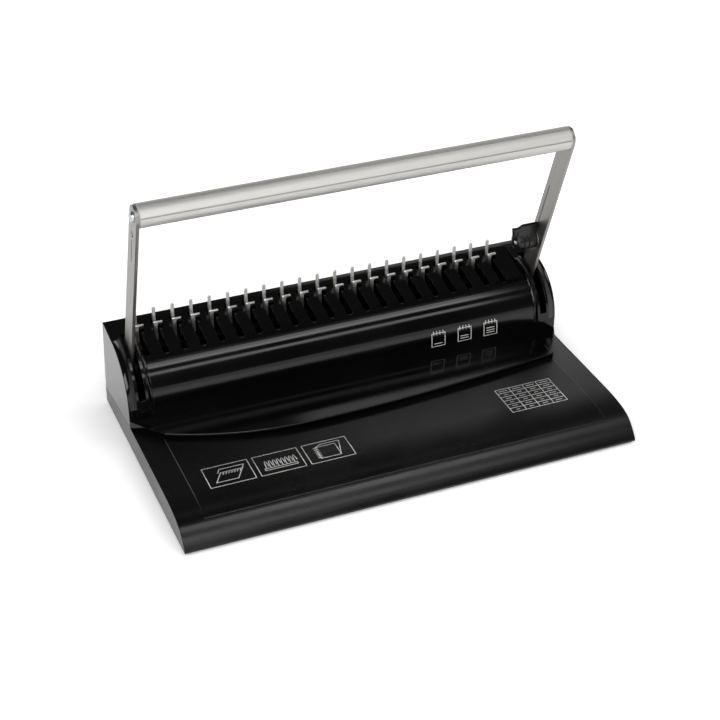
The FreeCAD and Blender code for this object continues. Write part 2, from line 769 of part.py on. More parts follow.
def comb_parts():
    """The bar with its fixed fingers, the rails and the sliding plate with its hooks."""
    inner = frame_inner - 2 * s.seam_gap
    finger_y = (finger_front, finger_front + s.finger_thickness)
    bar_top = hood_top - s.finger_bar_depth
    bar_z = (bar_top - s.finger_bar_height, bar_top)
    keep("comb_finger_bar", box("finger_bar", across(inner), finger_y, bar_z))
    fingers = [box("finger", (x - s.finger_width / 2, x + s.finger_width / 2), finger_y,
                   (bar_top, hood_top + s.finger_height)) for x in COMB_XS]
    keep("comb_fingers", group("finger_row", *fingers))
    rail_top = hook_plate_bottom - s.rail_play
    rail_y = (hood_front + s.rail_set_back, finger_front - s.seam_gap)
    rail_z = (rail_top - s.rail_height, rail_top)
    rails = [box("hook_rail", on_side(side, inner - s.rail_width, inner), rail_y, rail_z) for _, side in SIDES]
    keep("hook_rails", group("hook_rail_pair", *rails))
    hook_y = (hook_back - s.hook_plate_thickness, hook_back)
    sheet_metal = box("hook_sheet", across(inner - 2 * s.seam_gap),
                      (hook_back - s.hook_plate_depth, hook_back), (hook_plate_bottom, hook_plate_top))
    windows = []
    lugs = []
    for x in LEVER_XS + HOOK_SPRING_XS:
        limits = (x - s.hook_lug_width / 2, x + s.hook_lug_width / 2)
        windows.append(box("hook_window", limits, (window_front, hook_back + s.overlap),
                           past(hook_plate_bottom, hook_plate_top)))
        if x in LEVER_XS:
            lugs.append(box("hook_lug", limits, (window_front - s.hook_plate_thickness, window_front),
                            (hook_plate_bottom, hook_plate_top + s.hook_lug_height)))
    keep("hook_plate", fuse("hook_plate_blank", cut("hook_sheet_cut", sheet_metal, *windows), *lugs))
    hooks = []
    hook_top = hood_top + s.hook_height
    for x in HOOK_XS:
        edge = s.hook_width / 2
        stem = box("hook_stem", (x - edge, x + edge), hook_y, (hook_plate_top, hook_top))
        tab = box("hook_tab", (x, x + edge + s.hook_tab), hook_y, (hook_top - s.hook_tab_height, hook_top))
        hooks.append(fuse("hook", stem, tab))
    keep("comb_hooks", group("hook_row", *hooks))


def ram():
    """The pressure bar under the cams with its 21 punch pins."""
    cam_low = pivot_z - s.cam_radius + s.cam_throw * sine(s.cam_rest_angle)
    top = cam_low - s.ram_gap
    bottom = top - s.ram_thickness
    ram_y = (pivot_y - s.ram_depth / 2, pivot_y + s.ram_depth / 2)
    bar = box("ram_bar", across(ram_half), ram_y, (bottom, top))
    ear_far = ram_half - s.ear_inset
    ears = [box("ram_ear", on_side(side, ear_far - s.ear_width, ear_far),
                (ram_y[0] - s.ear_reach, pivot_y), (bottom, top)) for _, side in SIDES]
    holes = [rod("ram_post_hole", "z", past(bottom, top), (x, pivot_y), s.post_radius + s.fit_play)
             for x in POST_XS]
    keep("pressure_bar", cut("ram_drilled", fuse("ram_blank", bar, *ears), *holes))
    width = s.punch_width / 2
    depth = s.punch_thickness / 2
    pins = [box("punch_pin", (x - width, x + width), (pivot_y - depth, pivot_y + depth),
                (guide_bottom + s.punch_tip_lift, bottom)) for x in PUNCH_XS]
    keep("punch_pins", group("punch_pin_row", *pins))
    springs = []
    rail_bottom = hook_plate_bottom - s.rail_play - s.rail_height
    for _, side in SIDES:
        place = (side * (ear_far - s.ear_width / 2), ram_y[0] - s.ear_reach / 2)
        coil = rod("ram_spring_outer", "z", (top, rail_bottom), place, s.spring_radius)
        core = rod("ram_spring_core", "z", (top, rail_bottom), place, s.spring_radius - s.spring_wire)
        springs.append(cut("ram_spring", coil, core))
    keep("ram_springs", group("ram_spring_pair", *springs))
    hook_springs = []
    middle = hook_plate_bottom + s.hook_plate_thickness / 2
    for x in HOOK_SPRING_XS:
        place = (x, middle)
        length = (window_front, finger_front)
        coil = rod("hook_spring_outer", "y", length, place, s.hook_spring_radius)
        core = rod("hook_spring_core", "y", length, place, s.hook_spring_radius - s.spring_wire)
        hook_springs.append(cut("hook_spring", coil, core))
    keep("hook_springs", group("hook_spring_pair", *hook_springs))


def drive_shaft():
    """The shaft between the arms, with its end bolts, eccentric punch cams and opener levers."""
    centre = (pivot_y, pivot_z)
    shaft = rod("shaft_bar", "x", across(arm_inner), centre, s.shaft_radius)
    bores = []
    bolts = []
    for _, side in SIDES:
        bores.append(rod("shaft_bore", "x", on_side(side, arm_inner - s.bolt_length, arm_inner + s.overlap),
                         centre, s.bolt_radius + s.fit_play))
        head = rod("bolt_head", "x", on_side(side, arm_outer, arm_outer + s.bolt_head_height), centre,
                   s.bolt_head_radius)
        shank = rod("bolt_shank", "x", on_side(side, arm_inner - s.bolt_length, arm_outer), centre,
                    s.bolt_radius)
        bolts.append(fuse("arm_bolt", head, shank))
    keep("drive_shaft", cut("shaft_drilled", shaft, *bores))
    keep("arm_bolts", group("arm_bolt_pair", *bolts))
    cam_centre = (pivot_y - s.cam_throw * cosine(s.cam_rest_angle),
                  pivot_z + s.cam_throw * sine(s.cam_rest_angle))
    cams = []
    for middle in CAM_XS:
        limits = (middle - s.cam_width / 2, middle + s.cam_width / 2)
        disc = rod("cam_disc", "x", limits, cam_centre, s.cam_radius)
        crown = box("cam_crown", limits, (pivot_y - 3 * s.cam_radius, pivot_y + 3 * s.cam_radius),
                    (pivot_z + s.cam_top_cut, pivot_z + 3 * s.cam_radius))
        hub = rod("cam_hub", "x", limits, centre, s.hub_radius)
        bore = rod("cam_bore", "x", limits, centre, s.shaft_radius + s.fit_play)
        cams.append(cut("punch_cam", fuse("cam_blank", cut("cam_lobe", disc, crown), hub), bore))
    keep("punch_cams", group("punch_cam_set", *cams))
    levers = []
    reach = s.lever_reach
    lean = s.lever_rest_angle
    tip = (pivot_y + reach * sine(lean), pivot_z + reach * cosine(lean))
    wide_y = s.lever_head_radius * cosine(lean)
    wide_z = s.lever_head_radius * sine(lean)
    for middle in LEVER_XS:
        limits = (middle - s.lever_width / 2, middle + s.lever_width / 2)
        hub = rod("lever_hub", "x", limits, centre, s.hub_radius)
        head = rod("lever_head", "x", limits, tip, s.lever_head_radius)
        stalk = side_view("lever_stalk", limits, [
            (pivot_y - wide_y, pivot_z + wide_z), (pivot_y + wide_y, pivot_z - wide_z),
            (tip[0] + wide_y, tip[1] - wide_z), (tip[0] - wide_y, tip[1] + wide_z)])
        bore = rod("lever_bore", "x", limits, centre, s.shaft_radius + s.fit_play)
        levers.append(cut("opener_lever", fuse("lever_blank", hub, head, stalk), bore))
    keep("opener_levers", group("opener_lever_pair", *levers))


def handle_tube():
    """The grip: an aluminium tube with fine grooves, its end plugs and the screws that hold it."""
    centre = (tube_y, tube_z)
    end = arm_inner - s.plug_flange
    tube = rod("tube_bar", "x", across(end), centre, s.tube_radius)
    tools = [rod("tube_bore", "x", across(end + s.overlap), centre, s.tube_radius - s.tube_wall)]
    for index in range(SIZES["tube_groove_count"]):
        angle = s.tube_groove_angle + index * 360.0 / s.tube_groove_count
        place = (tube_y - s.tube_radius * cosine(angle), tube_z + s.tube_radius * sine(angle))
        tools.append(rod("tube_groove", "x", across(end + s.overlap), place, s.tube_groove_radius))
    keep("handle_tube", cut("tube_grooved", tube, *tools))
    plugs = []
    screws = []
    for _, side in SIDES:
        flange = rod("plug_rim", "x", on_side(side, end, arm_inner), centre, s.tube_radius)
        stub = rod("plug_stub", "x", on_side(side, arm_inner - s.plug_length, end), centre,
                   s.tube_radius - s.tube_wall - s.fit_play)
        bore = rod("plug_bore", "x", on_side(side, *past(arm_inner - s.plug_length, arm_inner)), centre,
                   s.grip_screw_radius + s.fit_play)
        plugs.append(cut("end_plug", fuse("plug_blank", flange, stub), bore))
        face = arm_outer + s.grip_screw_head_height
        head = rod("grip_screw_head", "x", on_side(side, arm_outer, face), centre, s.grip_screw_head_radius)
        shank = rod("grip_screw_shank", "x", on_side(side, arm_outer - s.grip_screw_length, arm_outer),
                    centre, s.grip_screw_radius)
        recess = on_side(side, face - s.cross_depth, face + s.overlap)
        long = s.cross_length / 2
        thin = s.cross_width / 2
        cross = [box("cross_arm", recess, (tube_y - y, tube_y + y), (tube_z - z, tube_z + z))
                 for y, z in ((long, thin), (thin, long))]
        screws.append(cut("grip_screw", fuse("grip_screw_blank", head, shank), *cross))
    keep("tube_end_plugs", group("end_plug_pair", *plugs))
    keep("tube_screws", group("grip_screw_pair", *screws))


def arm(word, side):
    """A flat steel arm with round ends, screw holes, a pressed bead and dimple outside and a groove inside."""
    name = word + "_arm"
    limits = on_side(side, arm_inner, arm_outer)
    strip = arm_strip(name + "_strip", limits, (0.0, s.arm_reach), across(s.arm_half_width))
    ends = [rod(name + "_end", "x", limits, place, s.arm_half_width)
            for place in ((pivot_y, pivot_z), (tube_y, tube_z))]
    through = on_side(side, *past(arm_inner, arm_outer))
    tools = [rod(name + "_bolt_hole", "x", through, (pivot_y, pivot_z), s.bolt_radius + s.fit_play),
             rod(name + "_screw_hole", "x", through, (tube_y, tube_z), s.grip_screw_radius + s.fit_play)]
    if side > 0:
        tools.append(rod(name + "_knob_hole", "x", through, along_arm(s.knob_reach, s.knob_set_back),
                         s.grip_screw_radius + s.fit_play))
    outside = on_side(side, arm_outer - s.bead_depth, arm_outer + s.overlap)
    tools.append(arm_strip(name + "_bead", outside, (s.bead_reach, s.bead_reach + s.bead_length),
                           across(s.bead_half_width)))
    tools.append(rod(name + "_dimple", "x", outside, along_arm(s.dimple_reach, 0.0), s.dimple_radius))
    inside = on_side(side, arm_inner - s.overlap, arm_inner + s.bead_depth)
    tools.append(arm_strip(name + "_groove", inside, (s.groove_reach, s.groove_reach + s.groove_length),
                           (s.groove_set_back - s.groove_half_width, s.groove_set_back + s.groove_half_width)))
    keep(name, cut(name + "_drilled", fuse(name + "_blank", strip, *ends), *tools))


def stop_knob():
    """The eccentric knob with a finger wing on the right arm, and the screw that it turns on."""
    middle = s.knob_set_back
    lobe_reach = s.knob_reach + s.knob_lobe_reach
    hub_centre = along_arm(s.knob_reach, middle)
    lobe_centre = along_arm(lobe_reach, middle)
    face = arm_inner - s.knob_play
    inner = face - s.knob_depth
    limits = (inner, face)
    hub = rod("knob_hub", "x", limits, hub_centre, s.knob_radius)
    lobe = rod("knob_lobe", "x", limits, lobe_centre, s.knob_lobe_radius)
    web = side_view("knob_web", limits, [
        along_arm(s.knob_reach, middle + s.knob_radius), along_arm(s.knob_reach, middle - s.knob_radius),
        along_arm(lobe_reach, middle - s.knob_lobe_radius),
        along_arm(lobe_reach, middle + s.knob_lobe_radius)])
    wing = arm_strip("knob_wing", (inner - s.wing_depth, inner + s.wing_root),
                     (s.knob_reach + s.wing_low_reach, s.knob_reach + s.wing_high_reach),
                     (middle - s.wing_half_thickness, middle + s.wing_half_thickness))
    bore = rod("knob_bore", "x", (inner - s.wing_depth, face + s.overlap), hub_centre,
               s.grip_screw_radius + s.fit_play)
    keep("stop_knob", cut("knob_drilled", fuse("knob_blank", hub, lobe, web, wing), bore))
    seat = inner - s.knob_play
    head = rod("knob_screw_head", "x", (seat - s.knob_screw_head_height, seat), hub_centre,
               s.knob_screw_head_radius)
    shank = rod("knob_screw_shank", "x", (seat, arm_outer), hub_centre, s.grip_screw_radius)
    keep("knob_screw", fuse("knob_screw_whole", head, shank))


def chip_drawer():
    """The shallow tray under the die that slides out of the right side."""
    bottom = floor_top + s.drawer_play
    top = bay_ceiling - s.drawer_play
    left_end = s.drawer_end_gap - seam_x
    tray = box("drawer_block", (left_end, half_width), (drawer_front, drawer_back), (bottom, top))
    hollow = box("drawer_hollow", (left_end + s.drawer_wall, half_width - s.wall),
                 (drawer_front + s.drawer_wall, drawer_back - s.drawer_wall),
                 (bottom + s.drawer_wall, top + s.overlap))
    middle = (drawer_front + drawer_back) / 2
    height = (bottom + top) / 2
    pull = box("drawer_pull", (half_width - s.pull_depth, half_width + s.overlap),
               (middle - s.pull_width / 2, middle + s.pull_width / 2),
               (height - s.pull_height / 2, height + s.pull_height / 2))
    keep("chip_drawer", cut("drawer_tray", tray, hollow, pull))


base_housing()
bottom_plate()
table_panel()
hood_cover()
for word, side in SIDES:
    end_cap(word, side)
    side_frame(word, side)
    arm(word, side)
frame_fittings()
die_set()
comb_parts()
ram()
drive_shaft()
handle_tube()
stop_knob()
chip_drawer()
doc.recompute()

failed = [thing.Label for thing in doc.Objects if "Invalid" in thing.State or "Error" in thing.State]
if failed:
    raise RuntimeError("failed to build: " + ", ".join(failed))
for node, piece in parts.items():
    if piece.Shape.isNull() or not piece.Shape.isValid() or not piece.Shape.Solids:
        raise RuntimeError("no valid solid: " + node)
os.makedirs("parts", exist_ok=True)
for node, piece in parts.items():
    piece.Shape.exportStep(os.path.join("parts", node + ".step"))
print("%d sub-parts, %d solids" % (len(parts), sum(len(p.Shape.Solids) for p in parts.values())))
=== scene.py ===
"""Dressed model of a comb binding machine on its CAD frame: meshes, finishes, studio and camera."""

import logging
import math
from dataclasses import dataclass, field
from enum import Enum
from typing import Any, Callable, Sequence

import bmesh
import bpy
from mathutils import Matrix, Vector


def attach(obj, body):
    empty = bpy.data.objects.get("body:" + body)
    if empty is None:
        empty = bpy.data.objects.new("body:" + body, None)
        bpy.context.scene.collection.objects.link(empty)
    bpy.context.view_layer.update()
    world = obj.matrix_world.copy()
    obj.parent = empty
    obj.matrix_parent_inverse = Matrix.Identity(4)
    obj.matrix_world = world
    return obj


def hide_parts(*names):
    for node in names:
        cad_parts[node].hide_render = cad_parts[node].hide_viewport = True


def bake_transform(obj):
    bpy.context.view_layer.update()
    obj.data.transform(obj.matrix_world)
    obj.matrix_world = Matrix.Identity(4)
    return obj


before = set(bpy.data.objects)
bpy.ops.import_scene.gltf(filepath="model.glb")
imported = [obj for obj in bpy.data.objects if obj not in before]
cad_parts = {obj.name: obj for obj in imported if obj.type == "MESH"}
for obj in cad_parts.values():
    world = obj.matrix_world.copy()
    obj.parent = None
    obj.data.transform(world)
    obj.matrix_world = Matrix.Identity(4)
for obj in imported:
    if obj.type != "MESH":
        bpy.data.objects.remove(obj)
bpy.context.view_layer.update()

MM = 0.001
# The comb's holes, their spacing and the x of the middle one. The hooks stand a little to the left of them.
HOLES = 21
PITCH = 14.2875
ROW_MIDDLE = -6.95
HOOK_SHIFT = 0.8
COMB_XS = [ROW_MIDDLE + (index - HOLES // 2) * PITCH for index in range(HOLES)]
HOOK_XS = [x - HOOK_SHIFT for x in COMB_XS]
# How far the arms lean to the front at rest.
LEAN = math.radians(19.3)
# How near a point counts as on a face, and as the same place, in millimetres.
NEAR = 0.1
TOUCH = 0.01
# How far a cutter reaches past what it cuts, in millimetres.
PAST = 1.0
# CAD points closer than this, in metres, are one corner.
MERGE_REACH = 2e-6
# Angles in degrees: faces flatter than this are one face, edges above these are rounded or drawn sharp.
FLAT_ANGLE = 0.6
ROUND_ANGLE = 28.0
SHARP_ANGLE = 35.0
# Most of a noise pattern's values lie between these.
NOISE_SPREAD = (0.35, 0.65)
log = logging.getLogger("comb_binder")

Point = tuple[float, float]
Spot = tuple[float, float, float]
Piece = bpy.types.Object
Shape = bmesh.types.BMesh
Tree = bpy.types.NodeTree


class Body(Enum):
    """The CAD bodies that pieces ride on."""

    CASING = "casing"
    HANDLE = "handle"
    RAM = "punch_ram"
    HOOKS = "hook_slide"
    KNOB = "stop_knob"
    DRAWER = "chip_drawer"


class Slot(Enum):
    """The record's material slots."""

    CASING = "casing_plastic"
    PANEL = "panel_plastic"
    BLACK = "black_plastic"
    SHEET = "sheet_steel"
    RUBBER = "foot_rubber"
    MACHINED = "machined_steel"
    BRIGHT = "bright_steel"
    FASTENER = "fastener_steel"
    TUBE = "tube_aluminium"


def linear(colour: str) -> tuple[float, float, float, float]:
    """Turns an sRGB hex colour to linear light.

    Args:
        colour: The colour as "#rrggbb".

    Returns:
        Red, green, blue and alpha.
    """
    parts = [int(colour[at:at + 2], 16) / 255 for at in (1, 3, 5)]
    red, green, blue = [c / 12.92 if c <= 0.04045 else ((c + 0.055) / 1.055) ** 2.4 for c in parts]
    return red, green, blue, 1.0


def metres(spot: Sequence[float]) -> tuple[float, ...]:
    """Turns millimetres to metres."""
    return tuple(side * MM for side in spot)


def add_node(tree: Tree, kind: str, settings: dict[Any, Any] | None = None,
             links: dict[Any, bpy.types.NodeSocket] | None = None) -> bpy.types.Node:
    """Adds one node to a tree, with its settings and the links into it.

    Args:
        tree: The shader or geometry tree.
        kind: Blender's name for the node.
        settings: Properties and input values by name.
        links: Output sockets by the name or index of the input that they go to.

    Returns:
        The new node.
    """
    node = tree.nodes.new(kind)
    for name, value in (settings or {}).items():
        if isinstance(name, str) and hasattr(node, name):
            setattr(node, name, value)
        else:
            node.inputs[name].default_value = value
    for name, socket in (links or {}).items():
        tree.links.new(socket, node.inputs[name])
    return node


def blank_tree(owner: bpy.types.Material | bpy.types.World) -> Tree:
    """Gives a material or the world an empty tree of nodes.

    Args:
        owner: The material or the world.

    Returns:
        The tree.
    """
    owner.use_nodes = True
    owner.node_tree.nodes.clear()
    return owner.node_tree


@dataclass(frozen=True)
class Pattern:
    """A cloudy or streaky pattern, with the size of its marks in millimetres along each axis."""

    size: Spot
    detail: float = 2.0
    turn: float = 0.0
    fineness: float = 0.55

    def socket(self, tree: Tree) -> bpy.types.NodeSocket:
        """Adds the pattern to a material.

        Args:
            tree: The material's tree.

        Returns:
            The socket with the pattern's value.
        """
        place = add_node(tree, "ShaderNodeTexCoord")
        sized = add_node(tree, "ShaderNodeMapping",
                         {"vector_type": "TEXTURE", "Scale": metres(self.size),
                          "Rotation": (self.turn, 0.0, 0.0)}, {"Vector": place.outputs["Object"]})
        noise = add_node(tree, "ShaderNodeTexNoise",
                         {"Scale": 1.0, "Detail": self.detail, "Roughness": self.fineness},
                         {"Vector": sized.outputs["Vector"]})
        return noise.outputs[0]


def even(size: float, detail: float = 2.0) -> Pattern:
    """Gives a pattern with marks of one size along every axis."""
    return Pattern((size, size, size), detail)


@dataclass(frozen=True)
class Finish:
    """A surface finish: two close tones, a roughness range and the relief of its surface."""

    name: str
    tones: tuple[str, str]
    roughness: Point
    tone_marks: Pattern
    relief: Pattern
    relief_depth: float
    metallic: float = 0.0
    ior: float = 1.5
    specular: float = 0.5

    def material(self) -> bpy.types.Material:
        """Makes the material, or finds it if a piece already has it.

        Returns:
            The material with its nodes.
        """
        made = bpy.data.materials.get(self.name)
        if made:
            return made
        made = bpy.data.materials.new(self.name)
        tree = blank_tree(made)
        marks = self.tone_marks.socket(tree)
        tone = add_node(tree, "ShaderNodeValToRGB", {}, {"Fac": marks})
        for stop, colour, at in zip(tone.color_ramp.elements, self.tones, NOISE_SPREAD):
            stop.position = at
            stop.color = linear(colour)
        (low, high), (smooth, coarse) = NOISE_SPREAD, self.roughness
        rough = add_node(tree, "ShaderNodeMapRange",
                         {"From Min": low, "From Max": high, "To Min": smooth, "To Max": coarse},
                         {"Value": marks})
        bump = add_node(tree, "ShaderNodeBump", {"Distance": self.relief_depth * MM, "Strength": 1.0},
                        {"Height": self.relief.socket(tree)})
        shader = add_node(tree, "ShaderNodeBsdfPrincipled",
                          {"Metallic": self.metallic, "IOR": self.ior, "Specular IOR Level": self.specular},
                          {"Base Color": tone.outputs["Color"], "Roughness": rough.outputs["Result"],
                           "Normal": bump.outputs["Normal"]})
        add_node(tree, "ShaderNodeOutputMaterial", {}, {"Surface": shader.outputs["BSDF"]})
        return made


# ABS from a polished tool: deep black, glossy, with a faint orange peel that softens long reflections.
GLOSS_ABS = Finish("moulded_abs_gloss", ("#040404", "#070707"), (0.09, 0.14),
                   even(60.0, 4.0), even(4.0), 0.003, ior=1.53, specular=0.32)
# ABS from a finely blasted tool: black with a soft satin sheen that spreads a lamp to one broad band.
# The blasting is under 0.1 mm; it is drawn at 0.6 mm so that it shows.
SATIN_ABS = Finish("moulded_abs_satin", ("#050505", "#080808"), (0.25, 0.32),
                   even(60.0, 4.0), even(0.6), 0.003, ior=1.53, specular=0.34)
# ABS from a spark-eroded tool: black with a fine even grain that spreads the light to a dry sheen.
# The real grain is about 0.1 mm; it is drawn at 0.7 mm so that it shows.
GRAINED_ABS = Finish("moulded_abs_grained", ("#050505", "#090909"), (0.24, 0.31),
                     even(45.0, 4.0), even(0.7), 0.005, ior=1.53, specular=0.36)
# Glass-filled nylon: black, a little duller than the case, with faint flow marks.
KNOB_NYLON = Finish("moulded_nylon", ("#060607", "#0b0b0c"), (0.30, 0.40),
                    even(9.0, 4.0), even(0.6), 0.008, ior=1.53, specular=0.4)
# Unfilled nylon, tinted to match the tube: pale grey and a little waxy.
PLUG_NYLON = Finish("tinted_nylon", ("#a3a2a0", "#adacaa"), (0.42, 0.52),
                    even(9.0, 4.0), even(0.6), 0.006, ior=1.53, specular=0.4)
# Cold-rolled steel strip, tumbled and nickel plated: soft grey with fine lines along the arm.
# Rolling lines are under 0.1 mm apart; they are drawn at 0.4 mm so that they show.
ARM_STEEL = Finish("cold_rolled_steel", ("#8a8886", "#979592"), (0.38, 0.48),
                   Pattern((2.0, 2.5, 40.0), 4.0, LEAN), Pattern((0.4, 0.4, 30.0), 3.0, LEAN), 0.004,
                   metallic=1.0)
# Extruded aluminium, satin anodised: pale silver with fine drawn lines along the tube.
# Die lines are about 0.05 mm apart; they are drawn at 0.3 mm so that they show.
TUBE_ALUMINIUM = Finish("anodised_aluminium", ("#c6c5c3", "#cccbc9"), (0.62, 0.68),
                        Pattern((120.0, 3.0, 3.0), 3.0), Pattern((60.0, 0.3, 0.3), 3.0), 0.0015, metallic=1.0)
# The grooves drawn into the tube: the same anodising, duller where no cloth polishes it, and darker as
# painted shade.
TUBE_GROOVE_SHADE = Finish("anodised_aluminium_groove_shade", ("#a9a8a6", "#b1b0ae"), (0.66, 0.74),
                     Pattern((120.0, 3.0, 3.0), 3.0), Pattern((60.0, 0.3, 0.3), 3.0), 0.0015, metallic=1.0)
# Stamped steel, nickel plated: bright, slightly warm, with soft tumbling marks.
NICKEL_STEEL = Finish("nickel_plated_steel", ("#dddcd9", "#e9e8e5"), (0.40, 0.50),
                      even(3.0, 4.0), even(0.5), 0.006, metallic=1.0)
# The same plating on the sliding hooks, rubbed bright by the combs: it mirrors the dark deck in front of it.
HOOK_STEEL = Finish("polished_nickel_steel", ("#d6d5d2", "#e2e1de"), (0.28, 0.38),
                    even(3.0, 4.0), even(0.5), 0.004, metallic=1.0)
# Zinc plated screws: cool silver with a cloudy passivation.
ZINC_SCREW = Finish("zinc_plated_screw", ("#a9adb0", "#c4c7c8"), (0.26, 0.38),
                    even(1.2, 3.0), even(0.4), 0.006, metallic=1.0)
# Galvanised sheet for hidden brackets: grey with a broad crystal spangle.
GALVANISED_SHEET = Finish("galvanised_sheet", ("#6f7274", "#8a8d8f"), (0.36, 0.52),
                          even(7.0, 5.0), even(2.5), 0.01, metallic=1.0)
# Ground tool steel, oiled: dark grey as painted shade inside the hood, with close grinding lines along the
# length.
TOOL_STEEL_AND_SHADE = Finish("ground_tool_steel_and_shade", ("#3c3d3f", "#4b4c4e"), (0.30, 0.42),
                    Pattern((30.0, 2.0, 2.0), 4.0), Pattern((25.0, 0.5, 0.5), 3.0), 0.004, metallic=1.0)
# Black-oxide steel: nearly black metal with a dry film of oil in clouds, also painted shade inside the hood.
BLACK_OXIDE_AND_SHADE = Finish("black_oxide_steel_and_shade", ("#161617", "#232325"), (0.38, 0.52),
                     even(8.0, 4.0), even(0.8), 0.006, metallic=1.0)
# Drawn spring wire, oil tempered: grey-brown metal with fine die lines, drawn at 0.3 mm so that they show.
SPRING_WIRE = Finish("oil_tempered_wire", ("#4a4744", "#5b5854"), (0.30, 0.42),
                     even(1.5, 3.0), even(0.3), 0.004, metallic=1.0)
# Moulded rubber feet: charcoal, matt, with a fine pitted skin.
FOOT_RUBBER = Finish("moulded_rubber", ("#1a1a1a", "#242423"), (0.74, 0.86),
                     even(5.0, 4.0), even(0.6, 3.0), 0.05, ior=1.52, specular=0.3)
# Screen printed epoxy ink: flat white, a little thin in places so that the grain shows.
PRINT_INK = Finish("screen_printed_ink", ("#dcdcda", "#eeeeec"), (0.48, 0.58),
                   even(6.0, 4.0), even(0.7), 0.01, ior=1.5, specular=0.35)


def linked(name: str, data: bpy.types.ID) -> Piece:
    """Puts a new object in the scene.

    Args:
        name: Its name.
        data: Its mesh, lamp or camera.

    Returns:
        The object.
    """
    made = bpy.data.objects.new(name, data)
    bpy.context.scene.collection.objects.link(made)
    return made


def applied(piece: Piece) -> Piece:
    """Turns a piece's modifiers into plain mesh.

    Args:
        piece: The object with its modifiers.

    Returns:
        The same object without modifiers.
    """
    graph = bpy.context.evaluated_depsgraph_get()
    mesh = bpy.data.meshes.new_from_object(piece.evaluated_get(graph))
    piece.modifiers.clear()
    piece.data = mesh
    return piece


def object_from(name: str, shape: Shape) -> Piece:
    """Makes an object from a shape in metres, smooth but for its sharp edges.

    Args:
        name: The piece's name.
        shape: The mesh, which is freed.

    Returns:
        The object, linked to the scene.
    """
    mesh = bpy.data.meshes.new(name)
    shape.to_mesh(mesh)
    shape.free()
    mesh.shade_smooth()
    mesh.set_sharp_from_angle(angle=math.radians(SHARP_ANGLE))
    return linked(name, mesh)


def rounded(piece: Piece, width: float, steps: int = 3, angle: float = 40.0,
            by_weight: bool = False) -> Piece:
    """Rounds a piece's edges and keeps its flat faces flat.

    Args:
        piece: The object.
        width: The width of the round in millimetres.
        steps: The number of faces across the round.
        angle: The least angle in degrees at an edge that is rounded.
        by_weight: Rounds the edges that carry a bevel weight, in place of the angle.

    Returns:
        The same object, as plain mesh.
    """
    bevel = piece.modifiers.new("round", "BEVEL")
    bevel.width, bevel.segments = width * MM, steps
    bevel.limit_method = "WEIGHT" if by_weight else "ANGLE"
    bevel.angle_limit = math.radians(angle)
    bevel.use_clamp_overlap = True
    flat = piece.modifiers.new("flat", "WEIGHTED_NORMAL")
    flat.keep_sharp = True
    return applied(piece)


def softened(name: str, node: str, width: Callable[[Vector], float],
             reshape: Callable[[Shape], None] | None = None) -> Piece:
    """Copies a CAD node, merges its triangles and rounds chosen outside edges.

    Args:
        name: The new piece's name.
        node: The CAD node.
        width: Gives the width of the round in millimetres from an edge's middle in millimetres.
        reshape: Changes the merged copy before its edges are rounded.

    Returns:
        The new object.
    """
    shape = bmesh.new()
    shape.from_mesh(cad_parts[node].data)
    bmesh.ops.remove_doubles(shape, verts=shape.verts[:], dist=MERGE_REACH)
    bmesh.ops.dissolve_limit(shape, angle_limit=math.radians(FLAT_ANGLE), verts=shape.verts[:],
                             edges=shape.edges[:])
    if reshape:
        reshape(shape)
    weight = shape.edges.layers.float.new("bevel_weight_edge")
    widths = {}
    for edge in shape.edges:
        if len(edge.link_faces) == 2 and edge.calc_face_angle_signed(0.0) > math.radians(ROUND_ANGLE):
            middle = (edge.verts[0].co + edge.verts[1].co) / (2 * MM)
            widths[edge] = width(middle)
    most = max(widths.values(), default=0.0)
    for edge, wide in widths.items():
        edge[weight] = wide / most if most else 0.0
    piece = object_from(name, shape)
    return rounded(piece, most, by_weight=True) if most else piece


def join_rings(shape: Shape, rings: Sequence[Sequence[bmesh.types.BMVert]]) -> None:
    """Adds the faces between closed rings of points, from each ring to the next.

    Args:
        shape: The mesh.
        rings: The rings, with as many points each.
    """
    for near, far in zip(rings, rings[1:]):
        for at in range(len(near)):
            after = (at + 1) % len(near)
            shape.faces.new((near[at], near[after], far[after], far[at]))


def prism(name: str, sections: Sequence[Sequence[Spot]]) -> Piece:
    """Makes a solid through a row of sections, flat at both ends.

    Args:
        name: The piece's name.
        sections: Rings of corners in millimetres, with as many corners each.

    Returns:
        The solid's object.
    """
    shape = bmesh.new()
    rings = [[shape.verts.new(metres(corner)) for corner in ring] for ring in sections]
    join_rings(shape, rings)
    for end in (rings[0], rings[-1]):
        shape.faces.new(end)
    bmesh.ops.recalc_face_normals(shape, faces=shape.faces[:])
    return object_from(name, shape)


def plate(name: str, outline: Sequence[Point], near: float, far: float) -> Piece:
    """Makes a flat plate from its outline (x, z) and the y of its front and back, in millimetres."""
    return prism(name, [[(x, y, z) for x, z in outline] for y in (near, far)])


def arc(centre: Point, radius: float, start: float, end: float, steps: int) -> list[Point]:
    """Lists points on an arc.

    Args:
        centre: The arc's centre.
        radius: Its radius.
        start: The first angle in degrees.
        end: The last angle in degrees.
        steps: The number of chords.

    Returns:
        The points, both ends included.
    """
    angles = [math.radians(start + (end - start) * step / steps) for step in range(steps + 1)]
    return [(centre[0] + radius * math.cos(turn), centre[1] + radius * math.sin(turn)) for turn in angles]


